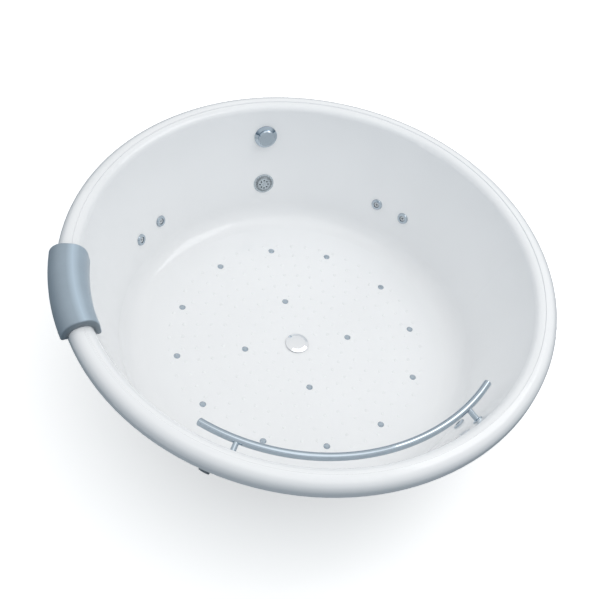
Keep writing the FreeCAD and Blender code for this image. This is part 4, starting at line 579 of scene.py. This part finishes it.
def pad_corners():
    """The cushion's section: distance from the axis and height of each corner, and its radius."""
    crown = RIM_HEIGHT + PAD_GAP
    high = crown + PAD_THICKNESS
    rim_side = RIM_RADIUS + PAD_GAP
    outer_side = rim_side + PAD_OUTER_TIP
    low = RIM_HEIGHT - PAD_OUTER_REACH
    clear = PAD_GAP / math.cos(WALL_LEAN)
    inner_low = Vector((wall_radius(PAD_INNER_REACH) - clear, RIM_HEIGHT - PAD_INNER_REACH))
    across = Vector((-math.cos(WALL_LEAN), -math.sin(WALL_LEAN) * PAD_INNER_TILT))
    inner_front = inner_low + across * PAD_INNER_TIP
    return [
        (inner_low, 0),
        (inner_front, PAD_TIP_ROUND),
        (Vector((inner_front.x + PAD_INNER_TIP * PAD_INNER_STEP, high)), PAD_CROWN_RADIUS),
        (Vector((outer_side, high)), PAD_CROWN_RADIUS),
        (Vector((outer_side, low)), PAD_TIP_ROUND),
        (Vector((rim_side, low)), 0),
        (Vector((rim_side, crown)), SHOULDER_RADIUS),
        (Vector((wall_radius(-PAD_GAP) - clear, crown)), INNER_EDGE_RADIUS),
    ]


def rounded(corners):
    """Points along a closed outline whose corners are rounded, and whether each is on the skin."""
    points = []
    count = len(corners)
    for index, (corner, radius) in enumerate(corners):
        on_skin = index < PAD_SKIN_CORNERS
        before = corners[index - 1][0]
        after = corners[(index + 1) % count][0]
        if radius == 0:
            points.append((corner, on_skin))
            continue
        to_before = (before - corner).normalized()
        to_after = (after - corner).normalized()
        half = to_before.angle(to_after) / 2
        middle = corner + (to_before + to_after).normalized() * (radius / math.sin(half))
        start = corner + to_before * (radius / math.tan(half)) - middle
        end = corner + to_after * (radius / math.tan(half)) - middle
        for step in range(PAD_ARC_STEPS + 1):
            arm = arm_between(start, end, step / PAD_ARC_STEPS)
            points.append((middle + arm, on_skin))
    return points


def arm_between(start, end, share):
    """The arm that is this share of the way from one arm to another of equal length."""
    angle = start.angle(end)
    first = math.sin((1 - share) * angle) / math.sin(angle)
    second = math.sin(share * angle) / math.sin(angle)
    return start * first + end * second


def filled(outline, gap):
    """Adds points to the outline's long sides, so that its faces stay even."""
    points = []
    for index, (point, on_skin) in enumerate(outline):
        points.append((point, on_skin))
        following, next_on_skin = outline[(index + 1) % len(outline)]
        parts = max(1, round((following - point).length / gap))
        for part in range(1, parts):
            between = point.lerp(following, part / parts)
            points.append((between, on_skin and next_on_skin))
    return points


def headrest_cushion(material):
    """The foam cushion over the rim, its ends rounded over."""
    outline = filled(rounded(pad_corners()), PAD_FACE_LENGTH)
    half_length = math.radians(PAD_HALF_ANGLE) * RIM_RADIUS
    stations = pad_stations(half_length)
    points, faces = [], []
    for along, inset in stations:
        azimuth = PAD_AZIMUTH + math.degrees(along / RIM_RADIUS)
        for index, (point, on_skin) in enumerate(outline):
            if on_skin:
                point = point - skin_normal(outline, index) * inset
            points.append(polar(point.x, azimuth, point.y))
    count = len(outline)
    for row in range(len(stations) - 1):
        for column in range(count):
            near = row * count
            beside = (column + 1) % count
            faces.append((near + column, near + beside, near + count + beside, near + count + column))
    piece = mesh_piece("headrest_cushion", points, faces, material)
    close_ends(piece, count, len(stations))
    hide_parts("headrest_pad")
    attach(piece, "headrest")


def pad_stations(half_length):
    """Distances along the cushion, and how far its skin is drawn in there."""
    near_end = []
    for step in range(PAD_END_STEPS + 1):
        turn = math.pi / 2 * step / PAD_END_STEPS
        along = -half_length + PAD_END_ROUND * (1 - math.sin(turn))
        inset = PAD_END_ROUND * (1 - math.cos(turn))
        near_end.append((along, inset))
    near_end.sort()
    start = -half_length + PAD_END_ROUND
    middle = [(start + (-2 * start) * step / PAD_STATIONS, 0.0) for step in range(1, PAD_STATIONS)]
    far_end = [(-along, inset) for along, inset in reversed(near_end)]
    return near_end + middle + far_end


def skin_normal(outline, index):
    """The outward direction of the section at one of its points."""
    before = outline[index - 1][0]
    after = outline[(index + 1) % len(outline)][0]
    along = (after - before).normalized()
    return Vector((-along.y, along.x))


def close_ends(piece, count, rows):
    """Closes both ends with a flat face, and turns every face outward."""
    work = bmesh.new()
    work.from_mesh(piece.data)
    work.verts.ensure_lookup_table()
    for row in (0, rows - 1):
        ring = [work.verts[row * count + column] for column in range(count)]
        face = work.faces.new(ring if row else list(reversed(ring)))
        face.smooth = True
    bmesh.ops.recalc_face_normals(work, faces=work.faces)
    work.to_mesh(piece.data)
    work.free()


# ---------------------------------------------------------------- studio

FLOOR_SIDE = 24.0

# The floor's colour to the light that it throws back, and its colour and glow to the camera.
FLOOR_BOUNCE = (0.13, 0.18, 0.22)
FLOOR_SEEN = (0.9, 0.9, 0.9)
FLOOR_GLOW = 0.45


def studio_floor():
    """A pale floor that looks white where no shadow falls, and throws back less light."""
    half = FLOOR_SIDE / 2
    corners = [(-half, -half, 0), (half, -half, 0), (half, half, 0), (-half, half, 0)]
    material = bpy.data.materials.new("studio_floor")
    material.use_nodes = True
    tree = material.node_tree
    shader = tree.nodes["Principled BSDF"]
    shader.inputs["Roughness"].default_value = 0.9
    shader.inputs["Specular IOR Level"].default_value = 0.0
    path = tree.nodes.new("ShaderNodeLightPath")
    colour = tree.nodes.new("ShaderNodeMix")
    colour.data_type = "RGBA"
    colour.inputs[MIX_FIRST].default_value = (*FLOOR_BOUNCE, 1)
    colour.inputs[MIX_SECOND].default_value = (*FLOOR_SEEN, 1)
    tree.links.new(path.outputs["Is Camera Ray"], colour.inputs["Factor"])
    tree.links.new(colour.outputs[MIX_RESULT], shader.inputs["Base Color"])
    glow = tree.nodes.new("ShaderNodeMapRange")
    glow.inputs["To Max"].default_value = FLOOR_GLOW
    tree.links.new(path.outputs["Is Camera Ray"], glow.inputs["Value"])
    shader.inputs["Emission Color"].default_value = (1, 1, 1, 1)
    tree.links.new(glow.outputs[0], shader.inputs["Emission Strength"])
    floor = mesh_piece("studio_floor", corners, [(0, 1, 2, 3)], material, smooth=False)


# Heights on the sky, from straight down to straight up, and the sky's colour there.
SKY_STOPS = [
    (0.0, (0.30, 0.34, 0.38)),
    (0.50, (0.07, 0.12, 0.17)),
    (0.58, (0.23, 0.29, 0.34)),
    (0.68, (0.88, 0.90, 0.92)),
    (1.0, (1.0, 1.0, 1.0)),
]
SKY_STRENGTH = 0.91

# The sky is dimmer and bluer on the side that the near rim's lip faces.
DIM_SIDE = (-0.6, -0.8, 0.0)
DIM_TINT = (0.86, 0.90, 0.94)


def studio_sky():
    """Soft light that is brightest overhead. The camera itself sees plain white."""
    world = bpy.data.worlds.new("studio_sky")
    bpy.context.scene.world = world
    world.use_nodes = True
    tree = world.node_tree
    sky = tree.nodes["Background"]
    place = tree.nodes.new("ShaderNodeTexCoord")
    split = tree.nodes.new("ShaderNodeSeparateXYZ")
    height = tree.nodes.new("ShaderNodeMapRange")
    height.inputs["From Min"].default_value = -1.0
    height.inputs["From Max"].default_value = 1.0
    ramp = tree.nodes.new("ShaderNodeValToRGB")
    stops = ramp.color_ramp.elements
    while len(stops) < len(SKY_STOPS):
        stops.new(0.5)
    for stop, (position, colour) in zip(stops, SKY_STOPS):
        stop.position = position
        stop.color = (*colour, 1)
    tree.links.new(place.outputs["Generated"], split.inputs[0])
    tree.links.new(split.outputs["Z"], height.inputs[0])
    tree.links.new(height.outputs[0], ramp.inputs[0])
    side = tree.nodes.new("ShaderNodeVectorMath")
    side.operation = "DOT_PRODUCT"
    side.inputs[1].default_value = DIM_SIDE
    tree.links.new(place.outputs["Generated"], side.inputs[0])
    share = tree.nodes.new("ShaderNodeMapRange")
    tree.links.new(side.outputs["Value"], share.inputs[0])
    tint = tree.nodes.new("ShaderNodeMix")
    tint.data_type = "RGBA"
    tint.blend_type = "MULTIPLY"
    tint.inputs[MIX_SECOND].default_value = (*DIM_TINT, 1)
    tree.links.new(share.outputs[0], tint.inputs["Factor"])
    tree.links.new(ramp.outputs[0], tint.inputs[MIX_FIRST])
    tree.links.new(tint.outputs[MIX_RESULT], sky.inputs["Color"])
    sky.inputs["Strength"].default_value = SKY_STRENGTH
    white = tree.nodes.new("ShaderNodeBackground")
    white.inputs["Color"].default_value = (1, 1, 1, 1)
    chosen = tree.nodes.new("ShaderNodeMixShader")
    path = tree.nodes.new("ShaderNodeLightPath")
    tree.links.new(path.outputs["Is Camera Ray"], chosen.inputs[0])
    tree.links.new(sky.outputs[0], chosen.inputs[1])
    tree.links.new(white.outputs[0], chosen.inputs[2])
    tree.links.new(chosen.outputs[0], tree.nodes["World Output"].inputs["Surface"])


# The lamps face this point in the bath.
LAMP_AIM = Vector((0, 0, 0.4))


def soft_box(name, place, width, height, power):
    """A rectangular white lamp that faces the bath."""
    light = bpy.data.lights.new(name, "AREA")
    light.shape = "RECTANGLE"
    light.size = width
    light.size_y = height
    light.energy = power
    lamp = bpy.data.objects.new(name, light)
    lamp.location = place
    lamp.rotation_euler = (LAMP_AIM - Vector(place)).to_track_quat("-Z", "Y").to_euler()
    bpy.context.collection.objects.link(lamp)


def studio_lights():
    soft_box("key_light", (2.2, 0.2, 3.8), width=2.0, height=1.6, power=20)
    soft_box("top_light", (0.3, -0.6, 4.4), width=3.0, height=3.0, power=18)


# ---------------------------------------------------------------- camera

# The camera was fitted to the rim, the jets and the fittings in the photograph. The photograph's
# side, and the point where the camera's axis meets it, are in pixels.
CAMERA_PLACE = Vector((-0.8715, -1.9565, 3.0663))
CAMERA_RIGHT = Vector((0.95370, -0.25074, 0.16607))
CAMERA_UP = Vector((0.09906, 0.78328, 0.61373))
CAMERA_LENS = 61.28
CAMERA_SENSOR = 36.0
PHOTO_SIDE = 600.0
PHOTO_CENTRE = (336.20, 300.87)


def photo_camera():
    """Stands where the photographer stood, with the photograph's framing."""
    data = bpy.data.cameras.new("photo_camera")
    data.lens = CAMERA_LENS
    data.sensor_width = CAMERA_SENSOR
    data.shift_x = (PHOTO_SIDE / 2 - PHOTO_CENTRE[0]) / PHOTO_SIDE
    data.shift_y = (PHOTO_CENTRE[1] - PHOTO_SIDE / 2) / PHOTO_SIDE
    camera = bpy.data.objects.new("photo_camera", data)
    backward = CAMERA_RIGHT.cross(CAMERA_UP)
    turn = Matrix((CAMERA_RIGHT, CAMERA_UP, backward)).transposed()
    camera.matrix_world = Matrix.Translation(CAMERA_PLACE) @ turn.to_4x4()
    bpy.context.collection.objects.link(camera)
    bpy.context.scene.camera = camera


# ---------------------------------------------------------------- all together


bpy.context.scene.view_settings.view_transform = "Standard"
photo_camera()
finishes = dress_solids()
floor_dots(dot_acrylic().material)
headrest_cushion(finishes["soft_foam"])
studio_floor()
studio_sky()
studio_lights()
